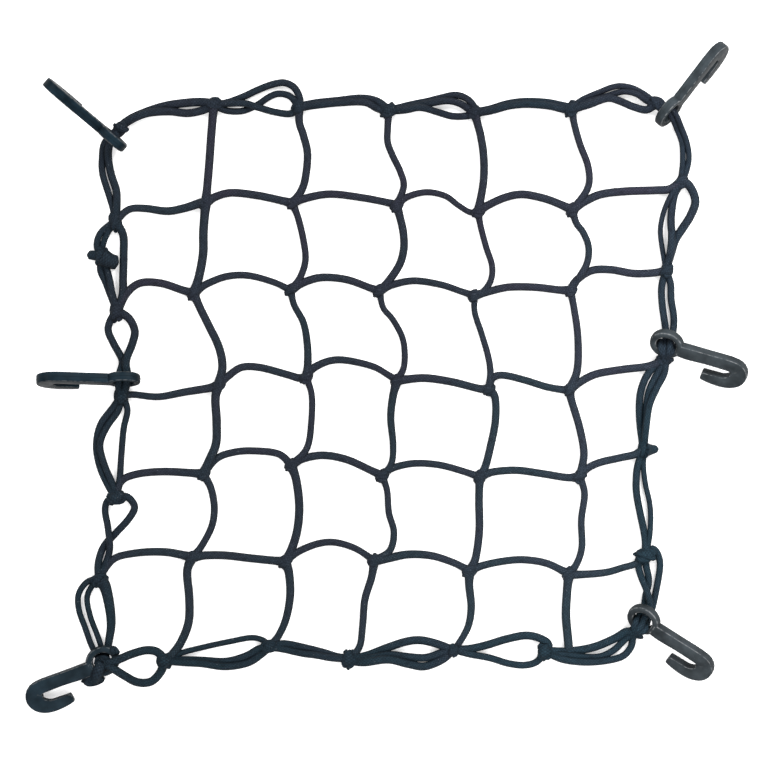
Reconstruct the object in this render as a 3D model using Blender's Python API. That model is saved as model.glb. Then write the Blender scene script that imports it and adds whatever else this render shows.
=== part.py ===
"""Elastic cargo net laid flat: knotted inner cords, a doubled rim cord and six moulded J hooks.

The net lies on the floor, seen from above: +X is right, +Y is up the net, +Z is away from the floor.
Every table is in millimetres.  A cord's route is a smooth curve through hand-placed points.
"""
import math
from typing import NamedTuple

import bmesh
import bpy
from mathutils import Vector

MM = 0.001

# Place of the net's own middle in the frame, so that the whole part is centred over the origin.
NET_SHIFT = (2.4, 0.7)

# Cord section: five sides with one flat side down, its corners 54 degrees below the middle and its
# widest corners 18 degrees above it.
CORD_SIDES = 5
FLAT_CORNER = math.radians(54.0)
WIDE_CORNER = math.radians(18.0)
CORD_TURN = 2.0 * math.pi / CORD_SIDES
CORD_STEP = 14.3
CORD_SEAT = 0.15
CORD_FULLNESS = 1.10
SEAT_STEP = 0.06
SEAT_LEVELS = 4
CORD_OVERRUN = 1.5
CURVE_STEPS = 8

# Knot: a ridged lump with a flat underside, in rings of (height share, radius share).
KNOT_SIDES = 8
KNOT_RINGS = ((0.0, 0.80), (0.40, 1.0), (0.80, 0.74))
KNOT_TALL = 8.6
KNOT_RIDGE = 0.08
KNOT_TWIST = math.radians(20.0)
KNOT_NUB = 0.22
KNOT_CORE = 1.0

# Clear distance that separate pieces keep.
GAP = 0.35

# Edges sharper than this are shown as edges.
SHARP_ANGLE = math.radians(50.0)

# Hook: a ring eye and a J-shaped bar, in a plane with u along the shank and v towards the curl.
EYE_OUTER = 11.6
EYE_HOLE = 6.8
EYE_SIDES = 14
EYE_OVAL = 0.89
HOOK_THICK = 6.7
CORNER_SHARE = 0.34
CURL_REACH = 40.0
CURL_DROP = 20.5


class Knot(NamedTuple):
    """A knot's place, its length and width, and the direction of its length in degrees."""

    x: float
    y: float
    long: float
    wide: float
    turn: float


class Cord(NamedTuple):
    """A run of cord: its ends, its width, the points (x, y[, lift]) it passes and its last width."""

    first: str
    last: str
    wide: float
    via: tuple
    last_wide: float = 0.0


class Station(NamedTuple):
    """A place on the middle line of the hook's bar, with the bar's width there."""

    u: float
    v: float
    wide: float


class Hook(NamedTuple):
    """A hook's eye, its heading, the side it curls to, and how it leans and tips."""

    x: float
    y: float
    heading: tuple
    side: int
    lean: float
    tip: float


INNER_KNOTS = {
    "K11": Knot(-125.5, 118.6, 10.6, 8.8, 50), "K21": Knot(-66.6, 118.4, 10.0, 8.2, 55),
    "K31": Knot(4.2, 116.8, 10.6, 9.0, 62), "K41": Knot(59.6, 112.8, 10.2, 9.2, 48),
    "K51": Knot(123.6, 113.8, 10.8, 8.8, 62),
    "K12": Knot(-133.6, 57.0, 11.2, 9.0, 55), "K22": Knot(-67.8, 59.4, 10.2, 8.2, 50),
    "K32": Knot(-7.4, 58.8, 10.8, 9.0, 50), "K42": Knot(57.0, 55.6, 10.0, 9.0, 60),
    "K52": Knot(122.4, 59.2, 10.0, 9.0, 60),
    "K13": Knot(-116.6, -4.6, 10.2, 9.4, 60), "K23": Knot(-57.2, 0.4, 11.0, 9.0, 50),
    "K33": Knot(4.4, -2.0, 9.8, 8.8, 45), "K43": Knot(67.0, -8.0, 10.0, 8.8, 52),
    "K53": Knot(121.9, -8.2, 10.2, 9.0, 62),
    "K14": Knot(-127.2, -65.6, 10.4, 8.8, 50), "K24": Knot(-67.4, -59.6, 10.4, 8.6, 50),
    "K34": Knot(-5.6, -66.8, 10.6, 8.8, 50), "K44": Knot(60.6, -67.6, 10.2, 9.2, 62),
    "K54": Knot(128.6, -67.2, 11.0, 9.4, 40),
    "K15": Knot(-135.0, -122.5, 10.4, 9.0, 46), "K25": Knot(-71.6, -125.0, 11.4, 9.2, 50),
    "K35": Knot(-11.0, -124.4, 10.4, 9.6, 60), "K45": Knot(53.8, -131.4, 11.4, 9.4, 44),
    "K55": Knot(121.2, -133.4, 10.4, 8.8, 56),
}

RIM_KNOTS = {
    "T1": Knot(-120.0, 185.4, 12.0, 10.6, 20), "T2": Knot(-62.2, 183.6, 11.6, 10.2, 60),
    "T3": Knot(-1.2, 181.4, 12.8, 10.6, 40), "T4": Knot(57.2, 180.0, 11.0, 9.6, 30),
    "T5": Knot(123.2, 182.6, 12.6, 9.6, 58),
    "L1": Knot(-187.0, 106.0, 13.4, 9.8, 95), "L2": Knot(-185.8, 45.0, 14.4, 11.0, 80),
    "L3": Knot(-182.6, -12.4, 13.4, 11.4, 90), "L4": Knot(-186.5, -81.8, 13.2, 11.6, 20),
    "L5": Knot(-197.8, -137.4, 13.0, 10.6, 40),
    "R1": Knot(197.6, 133.2, 11.2, 9.6, 60), "R3": Knot(186.5, 12.6, 12.0, 10.0, 10),
    "R4": Knot(172.0, -49.0, 12.4, 8.4, 90), "R5": Knot(173.6, -120.6, 15.0, 10.4, 0),
    "B1": Knot(-153.4, -192.5, 12.0, 12.0, 90), "B2": Knot(-82.4, -182.8, 12.4, 10.4, 30),
    "B3": Knot(-28.2, -191.2, 13.6, 11.6, 90), "B5": Knot(104.8, -186.2, 12.2, 12.6, 90),
    "TR": Knot(180.4, 186.2, 12.0, 10.6, 150), "CK": Knot(-196.2, 82.2, 14.0, 12.0, 80),
}

# Places where runs of cord meet with no knot: (x, y, lift of the cords' underside).
MEETINGS = {
    "R2": (187.2, 73.0, 0.0),
    "B4": (42.6, -185.2, 0.0),
    "B6": (121.3, -187.5, 0.0),
    "TL": (-184.2, 169.4, 3.4),
    "BR": (165.2, -173.0, 4.6),
    "BL": (-195.4, -193.2, 4.6),
    "stub_left": (-206.4, 83.4, 0.0),
    "stub_right": (-184.6, 77.6, 0.0),
    "stub_side": (182.4, -48.6, 0.0),
    "stub_low": (-203.4, -206.6, 0.0),
    "stub_eye_left": (183.8, 26.0, 2.2),
    "stub_eye_right": (193.0, 22.8, 2.4),
    "stub_wrap_top": (-186.4, 167.2, 3.8),
    "stub_wrap_low": (-193.4, -191.6, 3.8),
}

INNER_CORDS = (
    Cord("L1", "K11", 4.2, ((-178, 114.2), (-167, 115), (-152, 113.1), (-140, 115.2), (-131, 118)), 5.6),
    Cord("K11", "K21", 5.0, ((-119, 122.8), (-108, 125.6), (-90, 123.7), (-72, 119.8))),
    Cord("K21", "K31", 5.0, ((-60, 121.2), (-42, 124.7), (-20, 122.4), (0, 118.5)), 4.5),
    Cord("K31", "K41", 4.4, ((11, 122.6), (24, 126), (37, 123.6), (46, 117.2), (54, 112.4)), 3.5),
    Cord("K41", "K51", 5.0, ((66, 117), (78, 122.4), (90, 124.5), (105, 121.6), (117, 117))),
    Cord("K51", "R1", 5.1, ((131, 119), (143, 124.5), (160, 126.6), (180, 127.3), (190, 128.2))),
    Cord("L2", "K12", 4.9, ((-179, 57.6), (-170, 64.3), (-156, 64.1), (-142, 59.6))),
    Cord("K12", "K22", 4.8, ((-126, 63), (-112, 68.6), (-97, 69.4), (-80, 65)), 3.9),
    Cord("K22", "K32", 5.2, ((-60, 64.2), (-47, 68), (-30, 66.6), (-14, 61)), 4.5),
    Cord("K32", "K42", 4.7, ((1, 62.9), (16, 65.8), (34, 63.2), (48, 58.6)), 4.0),
    Cord("K42", "K52", 4.8, ((66, 58.2), (80, 61.4), (98, 61.4), (114, 59.6))),
    Cord("K52", "R2", 4.9, ((127, 66.6), (137, 72.8), (150, 73.3), (165, 70.8), (179, 71.2))),
    Cord("L3", "K13", 3.9, ((-175, -11.6), (-158, -13.1), (-140, -9.9), (-122, -6.9)), 5.3),
    Cord("K13", "K23", 4.7, ((-110, 1.2), (-101, 7), (-88, 6.7), (-70, 1.9), (-62, -0.4))),
    Cord("K23", "K33", 5.0, ((-53, 6), (-42, 11.2), (-30, 11.7), (-12, 7.5), (-1, 1.4)), 3.9),
    Cord("K33", "K43", 5.2, ((10, -1.4), (24, -0.4), (42, -3), (60, -7.5)), 4.7),
    Cord("K43", "K53", 4.5, ((69, -0.8), (76, 1.6), (90, -1.4), (106, -6.3), (117, -8.2))),
    Cord("K53", "R3", 4.9, ((129, -3), (140, 2.4), (158, 5.5), (176, 7.8))),
    Cord("L4", "K14", 4.5, ((-183, -70.4), (-172, -65.6), (-155, -64), (-138, -64.7)), 5.1),
    Cord("K14", "K24", 4.5, ((-118, -55), (-106, -50.7), (-92, -49.9), (-76, -52))),
    Cord("K24", "K34", 5.0, ((-60, -55.4), (-46, -52.9), (-30, -55.7), (-14, -62.8)), 4.7),
    Cord("K34", "K44", 4.5, ((1, -61.8), (16, -58.4), (34, -59.6), (52, -64.6)), 4.2),
    Cord("K44", "K54", 4.7, ((70, -64.2), (86, -63.1), (104, -65.5), (120, -68))),
    Cord("K54", "R4", 4.7, ((133, -62.3), (142, -57.9), (156, -54.6), (166, -52.4))),
    Cord("L5", "K15", 4.2, ((-193.5, -129.3), (-186, -122.2), (-170, -119), (-153, -118.7), (-140, -121)),
         5.3),
    Cord("K15", "K25", 5.1, ((-126, -121), (-112, -121), (-95, -122.9), (-80, -124.4))),
    Cord("K25", "K35", 4.7, ((-63, -118.6), (-50, -113.2), (-38, -112.1), (-24, -116.2)), 4.0),
    Cord("K35", "K45", 5.5, ((-2, -123), (12, -120.3), (28, -121.2), (43, -126)), 4.3),
    Cord("K45", "K55", 4.6, ((63, -127.8), (76, -125), (90, -123.9), (106, -126.3))),
    Cord("K55", "R5", 5.0, ((128, -134), (146, -132.6), (158, -129.3), (167, -126.5)), 4.0),
    Cord("T1", "K11", 5.2, ((-121.6, 168), (-123.5, 142))),
    Cord("K11", "K12", 5.5, ((-127.1, 100), (-127.4, 84), (-130.1, 69))),
    Cord("K12", "K13", 4.9, ((-129.6, 47.5), (-123.6, 35.4), (-116.8, 21), (-114.3, 8)), 5.3),
    Cord("K13", "K14", 5.4, ((-119, -14), (-118.2, -30), (-118.6, -45), (-123, -56))),
    Cord("K14", "K15", 4.6, ((-122.2, -75), (-119.8, -88), (-121.5, -101), (-128.4, -114.5)), 4.2),
    Cord("K15", "B1", 5.3, ((-138.2, -132), (-136.8, -150), (-137.2, -166), (-142.2, -179.5), (-149, -189))),
    Cord("T2", "K21", 4.8, ((-61.9, 173), (-59.3, 165), (-56.4, 152), (-57.8, 136), (-60.6, 127))),
    Cord("K21", "K22", 4.2, ((-62.8, 108.5), (-59.3, 94), (-57.8, 80), (-61.4, 68))),
    Cord("K22", "K23", 3.9, ((-65.6, 49.5), (-59.1, 37), (-56.5, 22), (-56.3, 8)), 5.0),
    Cord("K23", "K24", 3.9, ((-53.6, -12), (-53.8, -30), (-56.8, -48)), 4.3),
    Cord("K24", "K25", 5.3, ((-64, -70), (-62, -88), (-63.6, -105), (-68, -118.5))),
    Cord("K25", "B2", 5.5, ((-69, -133), (-68.2, -148), (-71, -164), (-76.4, -176)), 4.3),
    Cord("T3", "K31", 4.3, ((-1.9, 170), (-1.9, 160), (1.4, 151), (6.5, 140.4), (9.0, 130)), 4.1),
    Cord("K31", "K32", 4.9, ((6.7, 108), (8.8, 98), (9, 87), (5.8, 76), (-2.5, 64))),
    Cord("K32", "K33", 3.7, ((-5, 47.5), (2, 38.8), (8.7, 25), (9.3, 8)), 4.0),
    Cord("K33", "K34", 5.2, ((1.5, -14), (0.2, -28), (1.8, -46), (0.6, -58.5)), 3.7),
    Cord("K34", "K35", 3.9, ((-2.3, -77), (-1.1, -92), (2.3, -105), (-0.4, -117.5)), 4.4),
    Cord("K35", "B3", 5.0, ((-12.9, -136), (-17.4, -151), (-18.9, -168), (-21, -183)), 4.1),
    Cord("T4", "K41", 4.9, ((58.8, 174), (61.4, 164), (63.4, 150), (63.2, 133))),
    Cord("K41", "K42", 3.9, ((61.3, 103), (65, 89), (69.1, 76), (68.2, 66), (63, 58.5))),
    Cord("K42", "K43", 3.6, ((57.4, 44), (61.9, 30), (66.3, 15), (67.9, 4)), 4.2),
    Cord("K43", "K44", 4.7, ((71.2, -14), (71.3, -30), (68, -47), (64.2, -61.5)), 4.9),
    Cord("K44", "K45", 4.9, ((60.2, -84), (60.4, -104), (57.9, -122.5))),
    Cord("K45", "B4", 5.4, ((53.5, -141), (54.9, -156), (52.9, -169), (47, -180)), 3.9),
    Cord("T5", "K51", 4.3, ((125.1, 172), (128.9, 158.5), (134.5, 143), (134.2, 129))),
    Cord("K51", "K52", 4.2, ((126.4, 105), (131.2, 98.4), (134.7, 89), (133.8, 78.4), (127.8, 67.6))),
    Cord("K52", "K53", 4.2, ((125, 46), (127.4, 28), (127.1, 6)), 5.0),
    Cord("K53", "K54", 4.8, ((122.9, -15), (128.3, -33), (131.5, -50), (130.2, -61))),
    Cord("K54", "K55", 4.3, ((132, -79), (129.8, -97), (130.2, -115), (126.7, -126.5))),
    Cord("K55", "B6", 5.4, ((120, -146), (119.3, -162), (120.7, -178))),
)

RIM_CORDS = (
    Cord("TL", "T1", 5.4, ((-178, 175), (-168, 179.8), (-154, 184.4), (-140, 186.6), (-128, 187.2))),
    Cord("TL", "T1", 5.0, ((-177, 174.4), (-165, 179.2), (-150, 180.6), (-138, 179.7), (-128, 181.6))),
    Cord("T1", "T2", 4.4, ((-111, 187), (-100, 191), (-90, 195.7), (-80, 199.4), (-72, 200.4), (-65.3, 197),
                           (-61.8, 190))),
    Cord("T1", "T2", 4.1, ((-112, 181.6), (-101, 181.2), (-91, 185.2), (-83, 190.5), (-76, 193), (-68, 191))),
    Cord("T1", "T2", 4.3, ((-111, 186), (-99, 186), (-90, 183.4), (-78, 180.4), (-68, 179.4))),
    Cord("T2", "T3", 6.8, ((-52, 185.5), (-35, 187.4), (-20, 188.6), (-9, 185.4))),
    Cord("T3", "T4", 4.3, ((12, 185.2), (25, 187.9), (35, 190.4), (44, 192.1), (51.6, 189.8), (56.2, 185))),
    Cord("T3", "T4", 4.5, ((12, 183), (25, 185.8), (38, 187.9), (47, 186.3), (54, 182))),
    Cord("T3", "T4", 4.4, ((10, 181.2), (20, 182.8), (32, 180.4), (42, 177.7), (52, 177.9))),
    Cord("T4", "T5", 6.6, ((68, 181.8), (80, 185.2), (92, 186.5), (106, 185.8), (117, 183.6))),
    Cord("T5", "TR", 3.8, ((130, 188.7), (142, 194), (150, 197.2), (157, 198.3), (165, 196.7), (173, 192.4))),
    Cord("T5", "TR", 3.8, ((131, 186.2), (145, 190.8), (158, 194.3), (167, 192.6), (174, 188.2))),
    Cord("T5", "TR", 4.8, ((134, 185), (147, 189.5), (156, 187.8), (165, 184.1), (174, 182))),
    Cord("TR", "R1", 3.6, ((186.6, 181, 5.6), (190.6, 176.8, 5.8), (195.2, 168), (198.3, 159), (198.8, 148),
                           (198.1, 139))),
    Cord("TR", "R1", 3.6, ((188.4, 184, 5.6), (193, 178.8, 5.8), (198, 169), (201.6, 159), (203, 149.6),
                           (201.2, 140))),
    Cord("R1", "R2", 5.3, ((203.4, 130), (207.3, 120), (204, 110), (198.6, 101.4), (193.6, 93.5),
                           (190.6, 84))),
    Cord("R1", "R2", 4.8, ((193, 124), (190.8, 109), (190.9, 96), (189.8, 84))),
    Cord("R1", "R2", 3.2, ((190.3, 123.4), (185.8, 112.5), (183.6, 101), (184.5, 90))),
    Cord("R2", "R3", 4.4, ((184.4, 62), (184.6, 51), (185.9, 41), (187, 33), (186.8, 25, 3.6),
                           (185.4, 18.2, 7.2))),
    Cord("R2", "R3", 4.4, ((190.4, 64), (190.9, 53), (192.6, 42), (192.4, 33.5), (190.2, 25, 3.6),
                           (188.6, 17.8, 7.2))),
    Cord("R3", "stub_eye_left", 4.4, ((183.6, 18.2, 7.2), (183.3, 22.4, 5.2))),
    Cord("R3", "stub_eye_right", 4.4, ((189.9, 16.8, 7.2), (192.2, 19.6, 5.4))),
    Cord("R3", "R4", 4.6, ((180.6, 9.3), (173.8, 0.3), (170.3, -9), (169.2, -19), (169.8, -33))),
    Cord("R3", "R4", 4.2, ((181.6, 3.2), (176.2, -7.8), (174.2, -18), (173.4, -32))),
    Cord("R3", "R4", 4.4, ((186.2, 3), (180.8, -7.4), (175.8, -18.6), (173.4, -32.6))),
    Cord("R4", "R5", 4.5, ((168.1, -60), (167, -71.5), (167.6, -81), (170.1, -94), (172.9, -108))),
    Cord("R4", "R5", 3.4, ((172, -61), (173.5, -73), (176, -84), (177, -95), (176.1, -108))),
    Cord("R5", "BR", 4.3, ((178, -116.4), (181.6, -119.6), (183.3, -126.5), (182.3, -136), (179.8, -149),
                           (177.6, -158), (174.6, -165, 2.8), (172, -171.4, 7.6))),
    Cord("R5", "BR", 4.3, ((173.6, -127), (175.6, -138), (173.4, -149), (172.2, -157), (168.8, -161.8, 2.8),
                           (165.6, -167.4, 7.4))),
    Cord("R5", "BR", 4.2, ((168.8, -127), (170.2, -135), (174, -145), (176, -155), (172, -163.6, 2.8),
                           (168.8, -169.6, 7.8))),
    Cord("BR", "B5", 5.2, ((160, -172.8, 1.5), (152, -177.6), (138, -183.4), (122, -186.2), (113, -186.2))),
    Cord("BR", "B5", 4.2, ((159, -178.4, 0.8), (151.2, -185.8), (140, -190.2), (122, -188.8), (113, -188))),
    Cord("BR", "B5", 4.4, ((164.6, -177, 1.5), (163.3, -183.6), (158, -189.4), (149, -192), (134, -193.2),
                           (117, -191.2))),
    Cord("B5", "B4", 5.0, ((107.4, -181.4), (101.6, -177.3), (92, -175.4), (79, -177.8), (65, -182),
                           (54, -184.4))),
    Cord("B5", "B4", 4.3, ((99.6, -193.2), (91, -195.6), (80, -194.4), (68, -190.8), (54, -188))),
    Cord("B4", "B3", 5.1, ((31, -180.9), (20, -178.6), (10, -179.7), (-3, -184), (-17, -189.3))),
    Cord("B4", "B3", 4.8, ((35, -187), (24, -190.5), (11, -189.8), (-2, -188.4), (-18, -191.5))),
    Cord("B4", "B3", 5.1, ((35, -191.8), (23, -196.4), (12, -194.6), (-2, -191.1), (-20, -193.2))),
    Cord("B3", "B2", 6.6, ((-38, -190), (-47, -188), (-58, -185.6), (-72, -182.9))),
    Cord("B2", "B1", 3.6, ((-87, -178.6), (-95, -177), (-108, -179.3), (-125, -182.9), (-142, -187.3))),
    Cord("B2", "B1", 4.6, ((-90, -184.8), (-99, -189.6), (-112, -193), (-128, -192.3), (-142, -192))),
    Cord("B2", "B1", 4.6, ((-88.4, -188.6), (-97, -194), (-112, -196.3), (-128, -194.2), (-142, -193.4))),
    Cord("B1", "BL", 5.2, ((-158.5, -186.6), (-166, -185.4), (-175, -187.4, 4.4), (-182.4, -190.2, 9.2),
                           (-187.8, -192.4, 9.4))),
    Cord("B1", "BL", 5.2, ((-156.7, -200.8), (-163, -206.8), (-172, -207, 1.6), (-180, -202.2, 7.0),
                           (-187, -197.4, 9.4))),
    Cord("L5", "BL", 3.8, ((-206, -138.8), (-212, -147), (-211.9, -158), (-207.4, -171), (-203, -183),
                           (-197.4, -192, 2.4))),
    Cord("L5", "BL", 3.6, ((-202.5, -141), (-206.4, -150), (-204, -163), (-199.5, -175), (-196.6, -184),
                           (-195.4, -191, 2.4))),
    Cord("L5", "BL", 7.4, ((-194, -142), (-191, -155), (-189.9, -168), (-191.6, -180), (-193.6, -190, 2.4)),
         3.9),
    Cord("BL", "stub_low", 7.2, ((-198.4, -199.8, 4.6), (-200.6, -203.8, 1.0))),
    Cord("L4", "L5", 4.5, ((-179, -81.2), (-174, -88), (-177.9, -96), (-186.6, -105.6), (-195, -115),
                           (-198.8, -127))),
    Cord("L4", "L5", 4.3, ((-192.4, -84), (-194.1, -91), (-191.8, -103), (-190.6, -116), (-195, -130))),
    Cord("L3", "L4", 4.4, ((-188.6, -20.4), (-197.1, -32), (-200, -46), (-197.8, -60), (-192.2, -73))),
    Cord("L3", "L4", 4.2, ((-185.5, -23), (-192.8, -33.5), (-197.2, -46), (-194, -60), (-189, -72))),
    Cord("L3", "L4", 4.0, ((-178.9, -22), (-181.5, -35), (-183, -52), (-184.2, -69))),
    Cord("L3", "L2", 4.7, ((-184.3, -5.4, 5.6), (-183.5, 3, 5.6), (-182.4, 11.6), (-188.2, 23),
                           (-191.9, 31.6), (-190.6, 38.4))),
    Cord("L3", "L2", 5.0, ((-179.2, -5.4, 5.6), (-178.4, 3, 5.6), (-179.4, 11.6), (-175.2, 24), (-173.9, 32),
                           (-178, 40.4))),
    Cord("L2", "CK", 6.4, ((-189.6, 56.5), (-192.2, 65.5), (-195.1, 73.5))),
    Cord("CK", "L1", 6.8, ((-197.8, 90), (-194.5, 98.8))),
    Cord("L2", "L1", 5.0, ((-182.2, 56), (-181.8, 68), (-181.4, 84), (-181.8, 97))),
    Cord("CK", "stub_left", 5.6, ((-201, 83),)),
    Cord("CK", "stub_right", 9.0, ((-190.0, 79),)),
    Cord("R4", "stub_side", 8.4, ((176.2, -49),), 4.0),
    Cord("TL", "stub_wrap_top", 8.0, ((-185.0, 168.6, 3.6),)),
    Cord("BL", "stub_wrap_low", 8.6, ((-194.6, -192.6, 4.2),)),
    Cord("L1", "TL", 4.2, ((-188.7, 115), (-191.4, 124), (-195.7, 138), (-196.2, 148), (-194.6, 157.6, 4.6),
                           (-190, 163.8, 5.8))),
    Cord("L1", "TL", 4.9, ((-186, 117), (-186.4, 127), (-189.9, 138), (-191.8, 149), (-190.6, 157, 5.0),
                           (-187.6, 162.4, 5.8))),
)

# The bar of the hook: out along the shank, round the curl and back along the leg to its tip.
HOOK_BAR = (
    Station(8.6, 1.6, 8.8), Station(16.0, 1.8, 9.6), Station(30.0, 1.4, 9.0), Station(41.0, 1.3, 9.2),
    Station(46.6, 1.6, 9.4), Station(50.6, 3.3, 10.8), Station(52.1, 7.2, 12.2), Station(51.2, 11.6, 10.8),
    Station(47.4, 14.8, 9.4), Station(42.4, 16.4, 8.2), Station(37.2, 16.5, 7.8), Station(32.0, 16.3, 7.0),
    Station(28.4, 15.9, 6.0),
)

HOOKS = {
    "hook_tl": Hook(-188.6, 162.1, (-0.766, 0.643), -1, 86.0, 0.0),
    "hook_ml": Hook(-180.8, -1.2, (-1.0, 0.03), 1, 76.0, 0.0),
    "hook_bl": Hook(-195.4, -192.4, (-0.935, -0.354), 1, 8.0, -2.0),
    "hook_tr": Hook(188.5, 180.2, (0.606, 0.795), -1, 72.0, 0.0),
    "hook_mr": Hook(187.3, 23.1, (0.957, -0.290), -1, 39.0, 0.0),
    "hook_br": Hook(171.7, -163.8, (0.842, -0.539), -1, 36.0, 0.0),
}


def end_point(name: str) -> Vector:
    """The point where a run of cord starts or ends, with the lift of its underside as z."""
    if name in MEETINGS:
        return Vector(MEETINGS[name])
    knot = INNER_KNOTS.get(name) or RIM_KNOTS[name]
    return Vector((knot.x, knot.y, KNOT_CORE))


def smooth_points(points: list, step: float) -> list:
    """Evenly spaced points on a Catmull-Rom curve through the given points."""
    ends = [points[0] * 2.0 - points[1]] + points + [points[-1] * 2.0 - points[-2]]
    fine = []
    for index in range(len(points) - 1):
        before, start, stop, after = ends[index:index + 4]
        for tick in range(CURVE_STEPS):
            t = tick / CURVE_STEPS
            curve = start * 2.0 + (stop - before) * t
            curve += (before * 2.0 - start * 5.0 + stop * 4.0 - after) * t * t
            curve += (start * 3.0 - before - stop * 3.0 + after) * t * t * t
            fine.append(curve * 0.5)
    fine.append(points[-1].copy())
    marks = [0.0]
    for here, there in zip(fine, fine[1:]):
        marks.append(marks[-1] + (there - here).length)
    count = max(2, round(marks[-1] / step))
    even = []
    for index in range(count + 1):
        target = marks[-1] * index / count
        place = max(i for i, mark in enumerate(marks[:-1]) if mark <= target + 1e-9)
        share = (target - marks[place]) / (marks[place + 1] - marks[place])
        even.append(fine[place].lerp(fine[place + 1], min(share, 1.0)))
    return even


def add_loops(mesh: bmesh.types.BMesh, loops: list, closed: bool) -> None:
    """Skin a row of point loops into a shell: a tube with end caps, or a closed ring."""
    rings = [[mesh.verts.new(point) for point in loop] for loop in loops]
    pairs = list(zip(rings, rings[1:]))
    if closed:
        pairs.append((rings[-1], rings[0]))
    for near, far in pairs:
        count = len(near)
        for index in range(count):
            after = (index + 1) % count
            mesh.faces.new((near[index], near[after], far[after], far[index]))
    if not closed:
        mesh.faces.new(list(reversed(rings[0])))
        mesh.faces.new(rings[-1])


def add_cord(mesh: bmesh.types.BMesh, cord: Cord, order: int, grow: float) -> None:
    """Add one run of cord as a flat-bottomed tube that lies on the floor or rides over a hook."""
    via = [Vector((point[0], point[1], point[2] if len(point) > 2 else 0.0)) for point in cord.via]
    route = smooth_points([end_point(cord.first)] + via + [end_point(cord.last)], CORD_STEP)
    route[0] += (route[0] - route[1]).normalized() * (CORD_OVERRUN + grow)
    route[-1] += (route[-1] - route[-2]).normalized() * (CORD_OVERRUN + grow)
    seat = CORD_SEAT + SEAT_STEP * (order % SEAT_LEVELS)
    loops = []
    for index, point in enumerate(route):
        along = route[min(index + 1, len(route) - 1)] - route[max(index - 1, 0)]
        side = Vector((along.y, -along.x, 0.0)).normalized()
        wide = cord.wide + ((cord.last_wide or cord.wide) - cord.wide) * index / (len(route) - 1)
        radius = wide * CORD_FULLNESS / 2.0 / math.cos(WIDE_CORNER)
        lift = max(point.z, 0.0) + seat + radius * math.sin(FLAT_CORNER)
        middle = Vector((point.x, point.y, lift))
        loop = []
        for corner in range(CORD_SIDES):
            angle = CORD_TURN * corner - FLAT_CORNER
            offset = side * math.cos(angle) + Vector((0.0, 0.0, math.sin(angle)))
            loop.append(middle + offset * (radius + grow))
        loops.append(loop)
    add_loops(mesh, loops, closed=False)


def add_knot(mesh: bmesh.types.BMesh, knot: Knot, grow: float) -> None:
    """Add one ridged lump, flat underneath, longer towards its nub."""
    turn = math.radians(knot.turn)
    rings = []
    for level, (height, share) in enumerate(KNOT_RINGS):
        loop = []
        for index in range(KNOT_SIDES):
            angle = 2.0 * math.pi * index / KNOT_SIDES + KNOT_TWIST * level
            ridge = 1.0 + KNOT_RIDGE * (-1) ** index
            nub = 1.0 + KNOT_NUB * max(0.0, -math.cos(angle)) ** 3
            reach = share * ridge * nub
            long = (knot.long / 2.0 + grow) * reach * math.cos(angle)
            wide = (knot.wide / 2.0 + grow) * reach * math.sin(angle)
            x = knot.x + long * math.cos(turn) - wide * math.sin(turn)
            y = knot.y + long * math.sin(turn) + wide * math.cos(turn)
            loop.append((x, y, (KNOT_TALL + grow) * height - (grow if level == 0 else 0.0)))
        rings.append([mesh.verts.new(point) for point in loop])
    crown = mesh.verts.new((knot.x, knot.y, KNOT_TALL + grow))
    for near, far in zip(rings, rings[1:]):
        for index in range(KNOT_SIDES):
            after = (index + 1) % KNOT_SIDES
            mesh.faces.new((near[index], near[after], far[after]))
            mesh.faces.new((near[index], far[after], far[index]))
    for index in range(KNOT_SIDES):
        mesh.faces.new((rings[-1][index], rings[-1][(index + 1) % KNOT_SIDES], crown))
    mesh.faces.new(list(reversed(rings[0])))


def hook_section(half_wide: float, half_thick: float) -> list:
    """Corners of the bar's section, a rectangle with its corners cut, as (across, thick)."""
    inner_wide = half_wide - CORNER_SHARE * half_thick
    inner_thick = half_thick * (1.0 - CORNER_SHARE)
    quarter = ((half_wide, inner_thick), (inner_wide, half_thick))
    corners = list(quarter)
    corners += [(-across, thick) for across, thick in reversed(quarter)]
    corners += [(-across, -thick) for across, thick in quarter]
    corners += [(across, -thick) for across, thick in reversed(quarter)]
    return corners


def add_eye(mesh: bmesh.types.BMesh, grow: float) -> None:
    """Add the hook's ring eye around its own centre."""
    middle = (EYE_OUTER + EYE_HOLE) / 2.0
    section = hook_section((EYE_OUTER - EYE_HOLE) / 2.0 + grow, HOOK_THICK / 2.0 + grow)
    loops = []
    for index in range(EYE_SIDES):
        angle = 2.0 * math.pi * (index + 0.5) / EYE_SIDES
        radii = [(middle + across, thick) for across, thick in section]
        loops.append([(r * math.cos(angle), r * math.sin(angle) * EYE_OVAL, w) for r, w in radii])
    add_loops(mesh, loops, closed=True)


def add_bar(mesh: bmesh.types.BMesh, grow: float) -> None:
    """Add the hook's shank, curl and leg as one bar of changing width."""
    loops = []
    for index, station in enumerate(HOOK_BAR):
        before = HOOK_BAR[max(index - 1, 0)]
        after = HOOK_BAR[min(index + 1, len(HOOK_BAR) - 1)]
        along = Vector((after.u - before.u, after.v - before.v)).normalized()
        section = hook_section(station.wide / 2.0 + grow, HOOK_THICK / 2.0 + grow)
        across = Vector((-along.y, along.x))
        loops.append([(station.u + across.x * a, station.v + across.y * a, w) for a, w in section])
    add_loops(mesh, loops, closed=False)


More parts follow.
